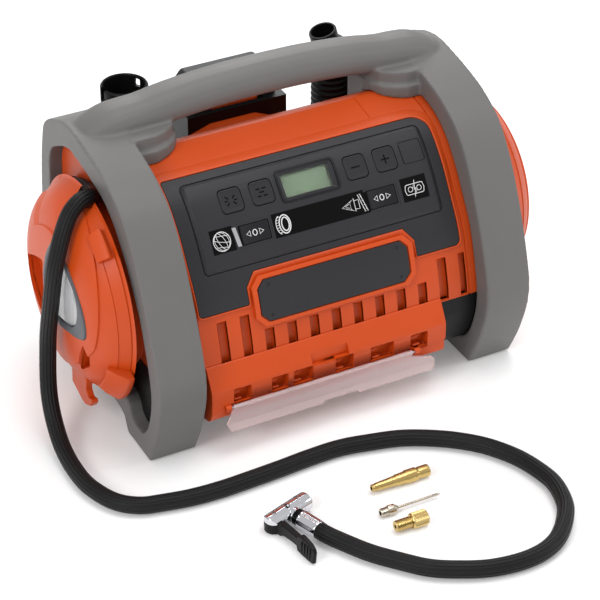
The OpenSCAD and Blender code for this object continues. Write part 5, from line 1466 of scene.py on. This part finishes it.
M["bezel"] = material("bezel_grey", (0.34, 0.35, 0.37), 0.38, spec=0.3, grain=0.2, grain_scale=1300, vary=0.04, rough_vary=0.05)
M["rocker"] = material("rocker_black", (0.11, 0.11, 0.12), 0.45, spec=0.2, grain=0.3, grain_scale=1900, vary=0.04)
M["dish"] = material("lamp_silver", (0.93, 0.93, 0.96), 0.28, 0.2, grain=0.1, grain_scale=300, vary=0.03, rough_vary=0.05)
M["brasspale"] = material("pale_brass", (0.86, 0.76, 0.52), 0.3, 1.0, grain=0.15, grain_scale=900, vary=0.05, rough_vary=0.06)


# ------------------------------------------------------------------ making
hose_obj, hose_path, hose_length = air_hose()
carry_frame()
front_shell()
name_plate()
panel()
strips()
icons()
keys()
rockers()
end_caps()
lamp()
tray()
lid()
chuck()
adapters()
lp_hose()
battery()
others()


# ------------------------------------------------------------------ floor, world and light
def studio():
    me = bpy.data.meshes.new("floor")
    me.from_pydata([(-9, -9, 0), (9, -9, 0), (9, 9, 0), (-9, 9, 0)], [], [[0, 1, 2, 3]])
    fl = bpy.data.objects.new("floor", me)
    bpy.context.scene.collection.objects.link(fl)
    m = bpy.data.materials.new("floor_white")
    m.use_nodes = True
    nt = m.node_tree
    b = nt.nodes["Principled BSDF"]
    b.inputs["Roughness"].default_value = 0.9
    b.inputs["Specular IOR Level"].default_value = 0.1
    b.inputs["Emission Color"].default_value = (1, 1, 1, 1)
    b.inputs["Emission Strength"].default_value = 0.12
    tc = nt.nodes.new("ShaderNodeTexCoord")
    ns = nt.nodes.new("ShaderNodeTexNoise")
    ns.inputs["Scale"].default_value = 2.0
    ramp = nt.nodes.new("ShaderNodeValToRGB")
    ramp.color_ramp.elements[0].color = (0.90, 0.90, 0.90, 1)
    ramp.color_ramp.elements[1].color = (0.93, 0.93, 0.93, 1)
    nt.links.new(tc.outputs["Object"], ns.inputs["Vector"])
    nt.links.new(ns.outputs["Fac"], ramp.inputs["Fac"])
    nt.links.new(ramp.outputs["Color"], b.inputs["Base Color"])
    me.materials.append(m)
    w = bpy.data.worlds.new("studio")
    bpy.context.scene.world = w
    w.use_nodes = True
    bg = w.node_tree.nodes["Background"]
    bg.inputs["Color"].default_value = (1, 1, 1, 1)
    bg.inputs["Strength"].default_value = 0.66
    def area(name, loc, target, size, power, color=(1, 1, 1)):
        L = bpy.data.lights.new(name, "AREA")
        L.shape, L.size, L.energy, L.color = "DISK", size, power, color
        o = bpy.data.objects.new(name, L)
        o.location = loc
        o.rotation_euler = (Vector(target) - Vector(loc)).to_track_quat("-Z", "Y").to_euler()
        bpy.context.scene.collection.objects.link(o)
    area("top", (0.35, -0.15, 2.2), (0, 0, 0.1), 1.3, 17)
    area("left", (-1.9, -0.9, 1.5), (0, 0, 0.1), 0.9, 19)
    area("right", (1.9, -0.9, 1.1), (0, 0, 0.1), 0.5, 7)
    area("back", (0.9, 1.9, 1.5), (0, 0, 0.15), 1.2, 20)
    v = bpy.context.scene.view_settings
    v.view_transform = "Standard"


studio()
